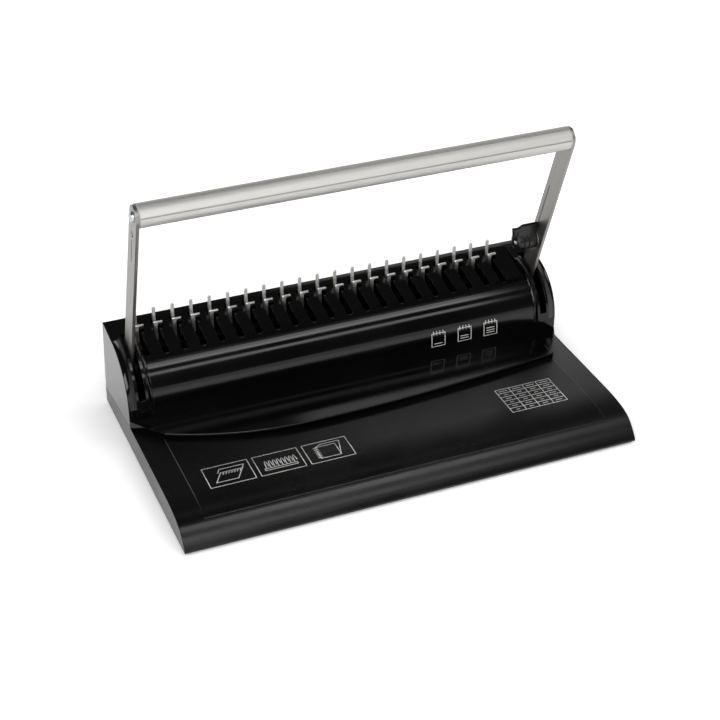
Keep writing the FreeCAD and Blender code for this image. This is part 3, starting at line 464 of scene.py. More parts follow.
def turned(name: str, line: Sequence[Point], sides: int = 32) -> Piece:
    """Makes a round piece about the z axis, as from a lathe.

    Args:
        name: The piece's name.
        line: Its half outline (radius, height) in millimetres, with both ends on the axis.
        sides: The number of faces round the axis.

    Returns:
        The piece's object.
    """
    shape = bmesh.new()
    top, bottom = (shape.verts.new((0.0, 0.0, end[1] * MM)) for end in (line[0], line[-1]))
    turns = [2 * math.pi * at / sides for at in range(sides)]
    rings = [[shape.verts.new(metres((radius * math.cos(turn), radius * math.sin(turn), height)))
              for turn in turns] for radius, height in line[1:-1]]
    join_rings(shape, rings)
    for at in range(sides):
        after = (at + 1) % sides
        shape.faces.new((top, rings[0][at], rings[0][after]))
        shape.faces.new((bottom, rings[-1][after], rings[-1][at]))
    bmesh.ops.recalc_face_normals(shape, faces=shape.faces[:])
    return object_from(name, shape)


def combined(piece: Piece, other: Piece, how: str) -> Piece:
    """Joins a second piece to a piece, or cuts it away, and removes the second piece.

    Args:
        piece: The piece that stays.
        other: The piece that is used up.
        how: Blender's name for the operation, UNION or DIFFERENCE.

    Returns:
        The piece that stays, as plain mesh.
    """
    meet = piece.modifiers.new("meet", "BOOLEAN")
    meet.operation, meet.object, meet.solver = how, other, "EXACT"
    applied(piece)
    bpy.data.objects.remove(other)
    return piece


def fasten(piece: Piece, body: Body, slot: Slot, finish: Finish, *nodes: str) -> None:
    """Gives a finished piece its material and fastens it to the frame.

    Args:
        piece: The object.
        body: The body that it rides on.
        slot: The record's material slot; not used.
        finish: Its finish.
        nodes: The CAD nodes that it stands for.
    """
    piece.data.materials.clear()
    piece.data.materials.append(finish.material())
    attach(piece, body.value)
    if nodes:
        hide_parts(*nodes)
    log.info("%s rides on %s, %d faces", piece.name, body.value, len(piece.data.polygons))


def stretch(piece: Piece, moving: Body, ends: tuple[Spot, Spot], slot: Slot, *nodes: str) -> None:
    """Bakes the springs' place into their mesh and hides the CAD nodes that they stand for.

    Args:
        piece: The object, with its material.
        moving: The body named in the log.
        ends: The first and the last point of one spring, in millimetres; not used.
        slot: The record's material slot; not used.
        nodes: The CAD nodes that it stands for.
    """
    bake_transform(piece)
    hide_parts(*nodes)
    log.info("%s gives between %s and casing, %d faces", piece.name, moving.value, len(piece.data.polygons))


def dress(finish: Finish, *nodes: str) -> None:
    """Gives CAD nodes that keep their shape a finish.

    Args:
        finish: The finish.
        nodes: The names of the nodes.
    """
    for node in nodes:
        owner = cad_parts[node]
        if not owner.material_slots:
            owner.data.materials.append(finish.material())
        for place in owner.material_slots:
            place.material = finish.material()
        log.info("%s dressed in %s", node, finish.name)


def named_tree(name: str, kinds: dict[str, str]) -> tuple[Tree, dict[str, str], bpy.types.NodeOutputs]:
    """Starts a tree of geometry nodes with named inputs and one output.

    Args:
        name: The tree's name.
        kinds: The kind of each input's socket, by the input's name.

    Returns:
        The tree, the identifier of each input, and the sockets that give the inputs.
    """
    tree = bpy.data.node_groups.new(name, "GeometryNodeTree")
    keys = {key: tree.interface.new_socket(key, in_out="INPUT", socket_type=kind).identifier
            for key, kind in kinds.items()}
    tree.interface.new_socket("Geometry", in_out="OUTPUT", socket_type="NodeSocketGeometry")
    return tree, keys, add_node(tree, "NodeGroupInput").outputs


def grown(name: str, mesh: bpy.types.Mesh, tree: Tree, values: dict[str, Any]) -> Piece:
    """Runs a tree of geometry nodes once and keeps its result as plain mesh.

    Args:
        name: The piece's name.
        mesh: The mesh that the tree starts from.
        tree: The tree.
        values: The inputs by identifier.

    Returns:
        The piece's object.
    """
    piece = linked(name, mesh)
    grow = piece.modifiers.new("grow", "NODES")
    grow.node_group = tree
    for key, value in values.items():
        grow[key] = value
    return applied(piece)


@dataclass
class Copies:
    """A shape copied to chosen places by geometry nodes. Places in millimetres, turns in degrees."""

    name: str
    template: Piece
    finish: Finish
    places: Sequence[Spot]
    turns: Sequence[Spot] = ((0.0, 0.0, 0.0),)

    def tree(self) -> tuple[Tree, dict[str, str]]:
        """Builds the node tree that copies a shape to the points of a mesh.

        Returns:
            The tree, and the identifier of each named input.
        """
        tree, keys, given = named_tree(self.name + "_copies", {
            "Places": "NodeSocketGeometry", "Shape": "NodeSocketObject", "Finish": "NodeSocketMaterial"})
        shape = add_node(tree, "GeometryNodeObjectInfo", {"transform_space": "ORIGINAL"},
                         {"Object": given["Shape"]})
        turn = add_node(tree, "GeometryNodeInputNamedAttribute",
                        {"data_type": "FLOAT_VECTOR", "Name": "turn"})
        facing = add_node(tree, "FunctionNodeEulerToRotation", {}, {"Euler": turn.outputs["Attribute"]})
        copies = add_node(tree, "GeometryNodeInstanceOnPoints", {},
                          {"Points": given["Places"], "Instance": shape.outputs["Geometry"],
                           "Rotation": facing.outputs["Rotation"]})
        real = add_node(tree, "GeometryNodeRealizeInstances", {}, {"Geometry": copies.outputs["Instances"]})
        dressed = add_node(tree, "GeometryNodeSetMaterial", {},
                           {"Geometry": real.outputs["Geometry"], "Material": given["Finish"]})
        add_node(tree, "NodeGroupOutput", {}, {"Geometry": dressed.outputs["Geometry"]})
        return tree, keys

    def build(self) -> Piece:
        """Makes the copies as one plain mesh and removes the template.

        Where there are fewer turns than places, the turns start again.

        Returns:
            The object with all copies.
        """
        tree, keys = self.tree()
        points = bpy.data.meshes.new(self.name)
        points.from_pydata([metres(place) for place in self.places], [], [])
        facing = points.attributes.new("turn", "FLOAT_VECTOR", "POINT")
        for at in range(len(self.places)):
            turn = self.turns[at % len(self.turns)]
            facing.data[at].vector = [math.radians(angle) for angle in turn]
        values = {keys["Shape"]: self.template, keys["Finish"]: self.finish.material()}
        piece = grown(self.name, points, tree, values)
        bpy.data.objects.remove(self.template)
        return piece


@dataclass(frozen=True)
class Spring:
    """A coil spring along z from its foot, made by geometry nodes. Sizes in millimetres."""

    name: str
    radius: float
    length: float
    wire: float
    coils: float
    chords: int = 20
    wire_sides: int = 8

    def build(self) -> Piece:
        """Sweeps the wire along the coil.

        Returns:
            The spring's object, with its foot at the origin.
        """
        sizes = {"Radius": (self.radius - self.wire / 2) * MM, "Length": (self.length - self.wire) * MM,
                 "Wire": self.wire / 2 * MM, "Coils": self.coils}
        tree, keys, given = named_tree(self.name + "_coil", dict.fromkeys(sizes, "NodeSocketFloat"))
        coil = add_node(tree, "GeometryNodeCurveSpiral", {"Resolution": self.chords},
                        {"Rotations": given["Coils"], "Start Radius": given["Radius"],
                         "End Radius": given["Radius"], "Height": given["Length"]})
        round_wire = add_node(tree, "GeometryNodeCurvePrimitiveCircle", {"Resolution": self.wire_sides},
                              {"Radius": given["Wire"]})
        swept = add_node(tree, "GeometryNodeCurveToMesh", {"Fill Caps": True},
                         {"Curve": coil.outputs["Curve"], "Profile Curve": round_wire.outputs["Curve"]})
        lift = add_node(tree, "ShaderNodeCombineXYZ", {}, {"Z": given["Wire"]})
        placed = add_node(tree, "GeometryNodeTransform", {},
                          {"Geometry": swept.outputs["Mesh"], "Translation": lift.outputs["Vector"]})
        smooth = add_node(tree, "GeometryNodeSetShadeSmooth", {}, {"Geometry": placed.outputs["Geometry"]})
        add_node(tree, "NodeGroupOutput", {}, {"Geometry": smooth.outputs["Geometry"]})
        values = {keys[name]: size for name, size in sizes.items()}
        return grown(self.name, bpy.data.meshes.new(self.name), tree, values)


class Drive(Enum):
    """The recesses that screw heads have."""

    CROSS = "cross"
    HEXAGON = "hexagon"


@dataclass(frozen=True)
class Screw:
    """A screw along z with its seat at the origin and its head above, in millimetres.

    The crown's points and the recess are shares of the head's radius and height.
    """

    head_radius: float
    head_height: float
    shank_radius: float
    shank_length: float
    drive: Drive = Drive.CROSS
    crown: tuple[Point, ...] = ((0.0, 1.0), (0.62, 0.98), (0.88, 0.8), (1.0, 0.42), (1.0, 0.0))
    recess_reach: float = 0.58
    recess_half: float = 0.13
    recess_floor: float = 0.45
    sides: int = 28

    def recess(self) -> list[Point]:
        """Lists the outline of the recess in the head, as seen along the screw.

        Returns:
            The corners (x, y).
        """
        reach, half = self.recess_reach * self.head_radius, self.recess_half * self.head_radius
        if self.drive is Drive.HEXAGON:
            return arc((0.0, 0.0), reach, 0.0, 300.0, 5)
        quarter = [(reach, -half), (reach, half), (half, half)]
        turns = [(math.cos(at * math.pi / 2), math.sin(at * math.pi / 2)) for at in range(4)]
        return [(x * c - y * d, x * d + y * c) for c, d in turns for x, y in quarter]

    def build(self) -> Piece:
        """Makes the screw with its recess.

        Returns:
            The screw's object.
        """
        tall, thin, deep = self.head_height, self.shank_radius, self.shank_length
        crown = [(across * self.head_radius, up * tall) for across, up in self.crown]
        shank = [(thin, 0.0), (thin, thin - deep), (thin / 2, -deep), (0.0, -deep)]
        body = turned("screw", [*crown, *shank], self.sides)
        hole = plate("recess", self.recess(), -tall - PAST, -self.recess_floor * tall)
        hole.data.transform(Matrix.Rotation(-math.pi / 2, 4, "X"))
        return combined(body, hole, "DIFFERENCE")


@dataclass(frozen=True)
class TableLine:
    """The table's top seen from the side: flat, then bending into the round front edge. In millimetres."""

    height: float = 20.5
    flat_end: float = -50.0
    nose_centre: Point = (-64.684, -17.866)
    nose_radius: float = 40.0
    join_turn: float = 35.0

    def nose(self, y: float) -> float:
        """Gives the height of the round front edge alone."""
        return self.nose_centre[1] + math.sqrt(self.nose_radius ** 2 - (y - self.nose_centre[0]) ** 2)

    def height_at(self, y: float, rise: float = 0.0) -> float:
        """Gives the height of the line, or of a layer on it.

        Args:
            y: The place along the table.
            rise: The layer's thickness.

        Returns:
            The height z.
        """
        turn = math.radians(self.join_turn)
        join = self.nose_centre[0] - self.nose_radius * math.sin(turn)
        if y >= self.flat_end:
            return self.height + rise
        if y <= join:
            tilt = math.asin(min(1.0, (self.nose_centre[0] - y) / self.nose_radius))
            return self.nose(y) + rise / math.cos(tilt)
        drop = self.height - self.nose(join)
        corner = join + drop / math.tan(turn)
        bend = self.flat_end - 2 * corner + join
        lean = corner - self.flat_end
        along = (-lean - math.sqrt(lean ** 2 - bend * (self.flat_end - y))) / bend
        tilt = math.atan2(drop * along, -(lean + bend * along))
        return self.height - drop * along ** 2 + rise / math.cos(tilt)

    def ys(self, end: float, step: float = 1.0) -> list[float]:
        """Lists the places where the bent part is divided, from the flat to the front."""
        return [self.flat_end - step * at for at in range(int((self.flat_end - end) / step) + 1)]


@dataclass
class BaseCase:
    """The lower casing with its table panel, bottom sheet, feet and screws. Sizes in millimetres."""

    half_width: float = 172.0
    front: float = -98.5
    back: float = 98.5
    edge_round: float = 1.2
    edge_foot: float = 2.5
    skin_foot: float = 3.4
    skin_slack: float = 0.3
    panel_half: float = 153.5
    panel_ys: Point = (-85.51, 33.0)
    panel_rise: float = 1.0
    panel_edge: float = 0.35
    line: TableLine = TableLine()
    foot_round: float = 0.6
    foot_sole: float = 1.0
    floor: float = 2.0
    screw: Screw = Screw(3.0, 1.2, 1.45, 8.0)
    screw_x: float = 158.0
    screw_ys: Spot = (-62.0, 15.0, 90.0)

    def housing_round(self, middle: Vector) -> float:
        """Gives the round of the housing's outside edges.

        Args:
            middle: An edge's middle in millimetres.

        Returns:
            The width of the round.
        """
        at_side = abs(middle.x) > self.half_width - NEAR
        at_end = middle.y < self.front + NEAR or middle.y > self.back - NEAR
        return self.edge_round if (at_side or at_end) and middle.z > self.edge_foot else 0.0

    def bend_front(self, shape: Shape) -> None:
        """Divides the housing's top towards its front edge and lays it on the table line.

        Args:
            shape: The housing's merged mesh.
        """
        for y in self.line.ys(self.front):
            everything = shape.verts[:] + shape.edges[:] + shape.faces[:]
            bmesh.ops.bisect_plane(shape, geom=everything, plane_co=metres((0.0, y, 0.0)),
                                   plane_no=(0.0, 1.0, 0.0))
        for corner in shape.verts:
            y, z = corner.co.y / MM, corner.co.z / MM
            if self.front - TOUCH < y < self.line.flat_end:
                skin = min(self.line.height, self.line.nose(max(y, self.front)))
                if abs(z - skin) < self.skin_slack and z > self.skin_foot:
                    corner.co.z = self.line.height_at(y) * MM

    def panel(self) -> Piece:
        """Makes the raised panel, which follows the table line a little way down the front edge.

        Returns:
            The panel's object.
        """
        front, back = self.panel_ys
        ys = [back, *self.line.ys(front), front]
        top = [(y, self.line.height_at(y, self.panel_rise)) for y in ys]
        under = [(y, self.line.height_at(y)) for y in ys]
        ends = [[(x, y, z) for y, z in (*top, *under[::-1])] for x in (-self.panel_half, self.panel_half)]
        return rounded(prism("table_sheet", ends), self.panel_edge)

    def build(self) -> None:
        """Rounds and dresses the housing, the panel and what is under them."""
        housing = softened("base_shell", "base_housing", self.housing_round, self.bend_front)
        fasten(housing, Body.CASING, Slot.CASING, SATIN_ABS, "base_housing")
        fasten(self.panel(), Body.CASING, Slot.PANEL, GRAINED_ABS, "table_panel")
        feet = softened("foot_pads", "rubber_feet",
                        lambda middle: self.foot_round if middle.z < self.foot_sole else 0.0)
        fasten(feet, Body.CASING, Slot.RUBBER, FOOT_RUBBER, "rubber_feet")
        dress(GALVANISED_SHEET, "bottom_plate")
        places = [(side * self.screw_x, y, self.floor) for side in (-1, 1) for y in self.screw_ys]
        screws = Copies("base_screw_heads", self.screw.build(), ZINC_SCREW, places, [(180.0, 0.0, 0.0)])
        fasten(screws.build(), Body.CASING, Slot.FASTENER, ZINC_SCREW, "base_screws")


@dataclass
class Hood:
    """The hood with its slotted comb deck, front lip and end caps. Sizes in millimetres."""

    half: float = 153.4
    front: float = 30.0
    round_centre: Point = (68.0, 34.5)
    radius: float = 38.0
    deck_front: float = 46.5
    ledge: Point = (86.0, 75.0)
    back_top: float = 91.0
    back_foot: Point = (98.5, 14.2)
    wall: float = 2.5
    skin_edge: float = 0.4
    skin_edge_angle: float = 45.0
    lip: Point = (24.0, 26.0)
    lip_crest: Point = (-50.0, -17.6)
    lip_ends: Point = (6.9, -2.5)
    lip_edge_round: float = 0.6
    lip_steps: int = 96
    crease_round: float = 26.0
    crease_steps: int = 16
    round_steps: int = 36
    deck_foot: float = 60.0
    slot_half: float = 2.5
    slot_round: float = 2.0
    slot_ys: Point = (47.5, 82.9)
    slot_clear: float = 0.3
    slot_turns: Point = (60.0, 30.0)
    notch_ys: Point = (73.05, 76.25)
    notch_reach: float = 6.1
    rod_place: Point = (50.5, 63.26)
    rod_half: float = 150.0
    rod_radius: float = 0.9
    rod_chamfer: float = 0.3
    rod_sides: int = 20
    cap_face: float = 171.8
    cap_foot: float = 15.5
    cap_edge: float = 1.2
    arm_slot_xs: Point = (155.0, 167.0)
    arm_slot_back: float = 95.0
    arm_slot_depth: float = 1.0
    arm_slot_edge: float = 0.4
    seam: float = 153.8
    seam_depth: float = 0.5
    seam_edge: float = 0.3

    def crease(self) -> tuple[Vector, float]:
        """Finds where the deck would meet the round.

        Returns:
            The point (y, z), and the deck's slope in radians.
        """
        reach = self.round_centre[0] - self.deck_front
        meet = Vector((self.deck_front, self.round_centre[1] + math.sqrt(self.radius ** 2 - reach ** 2)))
        return meet, math.atan2(self.ledge[1] - meet.y, self.ledge[0] - meet.x)

    def blend_centre(self) -> Vector:
        """Finds the centre of the arc that leads from the deck to the round.

        Returns:
            The centre (y, z).
        """
        meet, slope = self.crease()
        side = Vector((math.cos(slope), math.sin(slope)))
        below = Vector((math.sin(slope), -math.cos(slope)))
        start = meet + self.crease_round * below
        off = start - Vector(self.round_centre)
        along = off.dot(side)
        gap = self.radius - self.crease_round
        return start - (along + math.sqrt(along ** 2 - off.length_squared + gap ** 2)) * side

    def blend_height(self, y: float) -> float:
        """Gives the height of the arc that leads from the deck to the round."""
        middle = self.blend_centre()
        return middle.y + math.sqrt(self.crease_round ** 2 - (y - middle.x) ** 2)

    def profile(self) -> list[Point]:
        """Lists the outside profile from the back foot over the top to the front foot.

        Returns:
            Points (y, z).
        """
        (meet, slope), middle = self.crease(), self.blend_centre()
        towards = math.degrees(math.atan2(middle.y - self.round_centre[1], middle.x - self.round_centre[0]))
        blend = arc(tuple(middle), self.crease_round, 90.0 + math.degrees(slope), towards, self.crease_steps)
        deck_ys = [y for y in sorted((*self.slot_ys, *self.notch_ys), reverse=True) if y > blend[0][0]]
        deck = [(y, meet.y + (y - meet.x) * math.tan(slope)) for y in deck_ys]
        first, last = self.slot_ys[0], self.slot_ys[0] + self.slot_round
        ends = [(y, self.blend_height(y)) for y in (last, first)]
        front = arc(self.round_centre, self.radius, towards, 180.0, self.round_steps)[1:]
        low, high = first - self.slot_clear, last + self.slot_clear
        clear = [(y, z) for y, z in (*blend, *front) if not low < y < high]
        return [self.back_foot, (self.back_top, self.ledge[1]), self.ledge, *deck,
                *sorted([*clear, *ends], reverse=True), (self.front, self.lip[0])]

    def columns(self) -> list[float]:
        """Lists where lines run along the skin: its ends, slot middles and the sides of slots and notches.

        Returns:
            The x of each line.
        """
        steps = (-self.slot_half, 0.0, self.slot_half, self.notch_reach)
        sides = [x + step for x in HOOK_XS for step in steps]
        return [-self.half, *[x for x in sorted(sides) if abs(x) < self.half], self.half]

    def is_open(self, x: float, y: float, z: float) -> bool:
        """Tells whether a place on the skin lies in a slot or a notch.

        Args:
            x: Across the hood.
            y: Along the deck.
            z: Height.

        Returns:
            True in an opening.
        """
        if z < self.deck_foot or not self.slot_ys[0] < y < self.slot_ys[1]:
            return False
        off = min((x - tooth for tooth in HOOK_XS), key=abs)
        beside = min((x - tooth for tooth in HOOK_XS if x > tooth), default=math.inf)
        in_notch = beside < self.notch_reach and self.notch_ys[0] < y < self.notch_ys[1]
        return abs(off) < self.slot_half or in_notch

    def cover(self) -> Piece:
        """Makes the cover as a skin with its openings, and gives it its wall.

        Returns:
            The cover's object.
        """
        shape = bmesh.new()
        profile, columns = self.profile(), self.columns()
        grid = [[shape.verts.new(metres((x, y, z))) for y, z in profile] for x in columns]
        for i in range(len(columns) - 1):
            for j in range(len(profile) - 1):
                middle = ((columns[i] + columns[i + 1]) / 2, (profile[j][0] + profile[j + 1][0]) / 2,
                          (profile[j][1] + profile[j + 1][1]) / 2)
                if not self.is_open(*middle):
                    shape.faces.new((grid[i][j], grid[i][j + 1], grid[i + 1][j + 1], grid[i + 1][j]))
        for x in HOOK_XS:
            middle = min(range(len(columns)), key=lambda i: abs(columns[i] - x))
            self.round_slot_end(shape, profile, grid[middle - 1:middle + 2])
        piece = object_from("hood_shell", shape)
        wall = piece.modifiers.new("wall", "SOLIDIFY")
        wall.thickness = self.wall * MM
        wall.offset = -1.0
        return rounded(piece, self.skin_edge, steps=2, angle=self.skin_edge_angle)

    def round_slot_end(self, shape: Shape, profile: Sequence[Point],
                       lines: Sequence[Sequence[bmesh.types.BMVert]]) -> None:
        """Fills the two corners at the front end of a slot, so that it ends in a round.

        Args:
            shape: The cover's skin.
            profile: Its profile (y, z).
            lines: The skin's points along the slot's left side, middle and right side.
        """
        first, last = self.slot_ys[0], self.slot_ys[0] + self.slot_round
        rows = [j for j, (y, z) in enumerate(profile)
                if first - TOUCH < y < last + TOUCH and z > self.deck_foot]
        middle = lines[1][rows[-1]]
        for side, line in ((-1, lines[0]), (1, lines[2])):
            corner = [line[j] for j in rows] + [middle]
            for turn in map(math.radians, self.slot_turns):
                y = last - self.slot_round * math.sin(turn)
                x = middle.co.x / MM + side * self.slot_half * math.cos(turn)
                corner.append(shape.verts.new(metres((x, y, self.blend_height(y)))))
            shape.faces.new(corner if side < 0 else corner[::-1])

    def stop_rod(self) -> Piece:
        """Makes the steel rod under the front ends of the slots.

        Returns:
            The rod's object.
        """
        half, radius, cut = self.rod_half, self.rod_radius, self.rod_chamfer
        ends = [(0.0, half), (radius - cut, half), (radius, half - cut)]
        rod = turned("slot_stop_rod", [*ends, *[(r, -z) for r, z in ends[::-1]]], self.rod_sides)
        place = Matrix.Translation(Vector((0.0, *self.rod_place)) * MM)
        rod.data.transform(place @ Matrix.Rotation(math.pi / 2, 4, "Y"))
        return rod

    def lip_edge(self, x: float) -> float:
        """Gives the lip's front edge, an arc on either side of its crest.

        Args:
            x: A place along the lip.

        Returns:
            The edge's y there.
        """
        crest_x, crest_y = self.lip_crest
        side = 1 if x > crest_x else -1
        run = self.half - side * crest_x
        rise = self.lip_ends[side > 0] - crest_y
        bend = (run ** 2 + rise ** 2) / (2 * rise)
        return crest_y + bend - math.sqrt(bend ** 2 - (x - crest_x) ** 2)

    def lip_strip(self) -> Piece:
        """Makes the lip over the paper throat, swept to the front.

        Returns:
            The lip's object.
        """
        (low, high), back = self.lip, self.front + self.wall
        sections = []
        for step in range(self.lip_steps + 1):
            x = -self.half + 2 * self.half * step / self.lip_steps
            edge = self.lip_edge(x)
            sections.append([(x, edge, low), (x, edge, high), (x, back, high), (x, back, low)])
        return rounded(prism("hood_lip", sections), self.lip_edge_round)

    def cap_round(self, middle: Vector) -> float:
        """Gives the round of an end cap's edges.

        Args:
            middle: An edge's middle in millimetres.

        Returns:
            The width of the round.
        """
        across = abs(middle.x)
        away = math.hypot(middle.y - self.round_centre[0], middle.z - self.round_centre[1])
        if across > self.cap_face:
            return self.cap_edge if middle.z > self.cap_foot else 0.0
        if self.arm_slot_xs[0] < across < self.arm_slot_xs[1]:
            on_slot = away > self.radius - self.arm_slot_depth and middle.y < self.arm_slot_back
            return self.arm_slot_edge if on_slot else 0.0
        return self.seam_edge if across < self.seam and away > self.radius - self.seam_depth else 0.0

    def build(self) -> None:
        """Makes and dresses the cover, the lip and both caps."""
        fasten(self.cover(), Body.CASING, Slot.CASING, GLOSS_ABS, "hood_cover")
        fasten(self.lip_strip(), Body.CASING, Slot.CASING, GLOSS_ABS)
        # The rod's dark grey is painted shade under the slots.
        fasten(self.stop_rod(), Body.CASING, Slot.MACHINED, TOOL_STEEL_AND_SHADE)
        for side in ("left", "right"):
            cap = softened(side + "_cap_shell", side + "_end_cap", self.cap_round)
            fasten(cap, Body.CASING, Slot.CASING, GLOSS_ABS, side + "_end_cap")


@dataclass
class CombRow:
    """The fixed fingers and the sliding hooks that hold a comb open. Sizes in millimetres."""

    finger_half: float = 1.2
    finger_zs: Point = (65.0, 85.6)
    finger_ys: Point = (80.6, 82.1)
    tip_round: float = 0.8
    hook_half: float = 1.5
    hook_zs: Point = (62.0, 76.8)
    hook_ys: Point = (73.95, 75.45)
    tab_reach: float = 5.3
    tab_height: float = 1.4
    tab_fillet: float = 0.8
    tab_round: float = 0.6
    shoulder_round: float = 1.2
    corner_steps: int = 5
    shoulder_steps: int = 6
    edge_round: float = 0.25

    def stamped(self, name: str, outline: Sequence[Point], ys: Point) -> Piece:
        """Makes a stamped plate from its outline, with its edges tumbled round."""
        return rounded(plate(name, outline, *ys), self.edge_round, steps=2)

    def finger(self) -> Piece:
        """Makes one finger, with rounded shoulders at its tip.

        Returns:
            The template object, at x 0.
        """
        half, (low, top), tip = self.finger_half, self.finger_zs, self.tip_round
        right = arc((half - tip, top - tip), tip, 0.0, 90.0, self.corner_steps)
        left = arc((tip - half, top - tip), tip, 90.0, 180.0, self.corner_steps)
        return self.stamped("finger", [(-half, low), (half, low), *right, *left], self.finger_ys)

    def hook(self) -> Piece:
        """Makes one hook: a stem with a tab to the right, filleted where they meet.

        Returns:
            The template object, at x 0.
        """
        half, (low, top), reach = self.hook_half, self.hook_zs, self.tab_reach
        under = top - self.tab_height
        fillet, nose_round, bend = self.tab_fillet, self.tab_round, self.shoulder_round
        inner = arc((half + fillet, under - fillet), fillet, 180.0, 90.0, self.corner_steps)
        nose = arc((reach - nose_round, top - nose_round), nose_round, 0.0, 90.0, self.corner_steps)
        shoulder = arc((bend - half, top - bend), bend, 90.0, 180.0, self.shoulder_steps)
        outline = [(-half, low), (half, low), *inner, (reach, under), *nose, *shoulder]
        return self.stamped("hook", outline, self.hook_ys)

    def build(self) -> None:
        """Repeats the finger and the hook along the deck, and dresses what carries them."""
        fingers = Copies("finger_row", self.finger(), NICKEL_STEEL, [(x, 0.0, 0.0) for x in COMB_XS])
        fasten(fingers.build(), Body.CASING, Slot.BRIGHT, NICKEL_STEEL, "comb_fingers")
        hooks = Copies("hook_row", self.hook(), HOOK_STEEL, [(x, 0.0, 0.0) for x in HOOK_XS])
        fasten(hooks.build(), Body.HOOKS, Slot.BRIGHT, HOOK_STEEL, "comb_hooks")
        # The near-black finish on what carries the comb also paints the shade under the deck.
        dress(BLACK_OXIDE_AND_SHADE, "comb_finger_bar", "hook_plate", "hook_rails")


@dataclass
class PunchDrive:
    """The frames, shaft, cams, ram and die inside the hood."""

    frames: tuple[str, ...] = ("left_side_frame", "right_side_frame", "die_supports", "paper_back_stop",
                               "paper_edge_stop")
    ground: tuple[str, ...] = ("die_plate", "punch_guide_plate", "guide_posts", "pressure_bar", "punch_pins")
    turned: tuple[str, ...] = ("drive_shaft", "punch_cams", "opener_levers", "shaft_bushes")
    ram_spring: Spring = Spring("ram_spring", 3.0, 17.34, 0.7, 7.0)
    ram_spring_feet: tuple[Spot, ...] = ((-142.5, 55.5, 37.96), (142.5, 55.5, 37.96))
    hook_spring: Spring = Spring("hook_spring", 2.0, 11.2, 0.5, 8.0)
    hook_spring_feet: tuple[Spot, ...] = ((-56.96, 69.4, 61.25), (43.06, 69.4, 61.25))
    screw: Screw = Screw(3.0, 1.2, 1.45, 5.0)
    screw_places: tuple[Point, ...] = ((-161.2, 78.0), (-161.2, 88.0), (161.2, 78.0), (161.2, 88.0))
    screw_seat: float = 16.5

    def coils(self, name: str, spring: Spring, feet: Sequence[Spot], along: Spot, moving: Body,
              node: str) -> None:
        """Puts a spring on each foot, between a moving body and the casing.

        Args:
            name: The piece's name.
            spring: The spring.
            feet: The springs' feet, on the moving body.
            along: The way that the springs point, up or to the back.
            moving: The moving body.
            node: The CAD node that the springs stand for.
        """
        coils = Copies(name, spring.build(), SPRING_WIRE, feet, [(-90.0 * along[1], 0.0, 0.0)])
        end = tuple(start + spring.length * way for start, way in zip(feet[0], along))
        stretch(coils.build(), moving, (feet[0], end), Slot.MACHINED, node)

    def build(self) -> None:
        """Dresses the CAD nodes whose shapes stay, and makes the springs and the frame screws."""
        # Dark finishes on the frames, the ground parts and the shaft also paint the shade inside the hood.
        dress(BLACK_OXIDE_AND_SHADE, *self.frames)
        dress(TOOL_STEEL_AND_SHADE, *self.ground)
        dress(BLACK_OXIDE_AND_SHADE, *self.turned)
        up, back = (0.0, 0.0, 1.0), (0.0, 1.0, 0.0)
        self.coils("ram_coils", self.ram_spring, self.ram_spring_feet, up, Body.RAM, "ram_springs")
        self.coils("hook_coils", self.hook_spring, self.hook_spring_feet, back, Body.HOOKS, "hook_springs")
        places = [(x, y, self.screw_seat) for x, y in self.screw_places]
        screws = Copies("frame_screw_heads", self.screw.build(), ZINC_SCREW, places)
        fasten(screws.build(), Body.CASING, Slot.FASTENER, ZINC_SCREW, "frame_screws")


@dataclass
class Handle:
    """The tube, its plugs and the two arms. Sizes in millimetres."""

    tube_centre: Point = (12.12, 199.01)
    pivot: Point = (65.0, 48.0)
    arm_outer: float = 162.5
    tube_radius: float = 8.5
    groove_depths: Point = (0.06, 0.7)
    end_facing: float = 0.5
    edge_round: float = 0.45
    grip_screw: Screw = Screw(4.0, 2.2, 2.0, 12.0)
    pivot_bolt: Screw = Screw(6.0, 3.5, 3.0, 16.4, Drive.HEXAGON)

    def pair(self, name: str, screw: Screw, centre: Point, node: str) -> None:
        """Puts a screw through each arm from outside.

        Args:
            name: The pair's name.
            screw: The screw.
            centre: Its place (y, z).
            node: The CAD node that the pair stands for.
        """
        places = [(side * self.arm_outer, *centre) for side in (-1, 1)]
        turns = [(0.0, side * 90.0, 0.0) for side in (-1, 1)]
        screws = Copies(name, screw.build(), ZINC_SCREW, places, turns)
        fasten(screws.build(), Body.HANDLE, Slot.FASTENER, ZINC_SCREW, node)

    def paint_groove_shade(self, tube: Piece) -> None:
        """Gives the faces in the tube's outside grooves their duller finish, whose darker tone is painted
        shade.

        Args:
            tube: The tube, already dressed.
        """
        tube.data.materials.append(TUBE_GROOVE_SHADE.material())
        shallow, deep = self.groove_depths
        for face in tube.data.polygons:
            y, z = face.center.y / MM - self.tube_centre[0], face.center.z / MM - self.tube_centre[1]
            at_end = abs(face.normal.x) >= self.end_facing
            if not at_end and shallow < self.tube_radius - math.hypot(y, z) < deep:
                face.material_index = 1

    def build(self) -> None:
        """Rounds and dresses the handle's pieces."""
        tube = softened("grip_tube", "handle_tube", lambda middle: 0.0)
        fasten(tube, Body.HANDLE, Slot.TUBE, TUBE_ALUMINIUM, "handle_tube")
        self.paint_groove_shade(tube)
        for side in ("left", "right"):
            arm = softened(side + "_lever", side + "_arm", lambda middle: self.edge_round)
            fasten(arm, Body.HANDLE, Slot.SHEET, ARM_STEEL, side + "_arm")
        dress(PLUG_NYLON, "tube_end_plugs")
        self.pair("grip_screws", self.grip_screw, self.tube_centre, "tube_screws")
        self.pair("pivot_bolts", self.pivot_bolt, self.pivot, "arm_bolts")


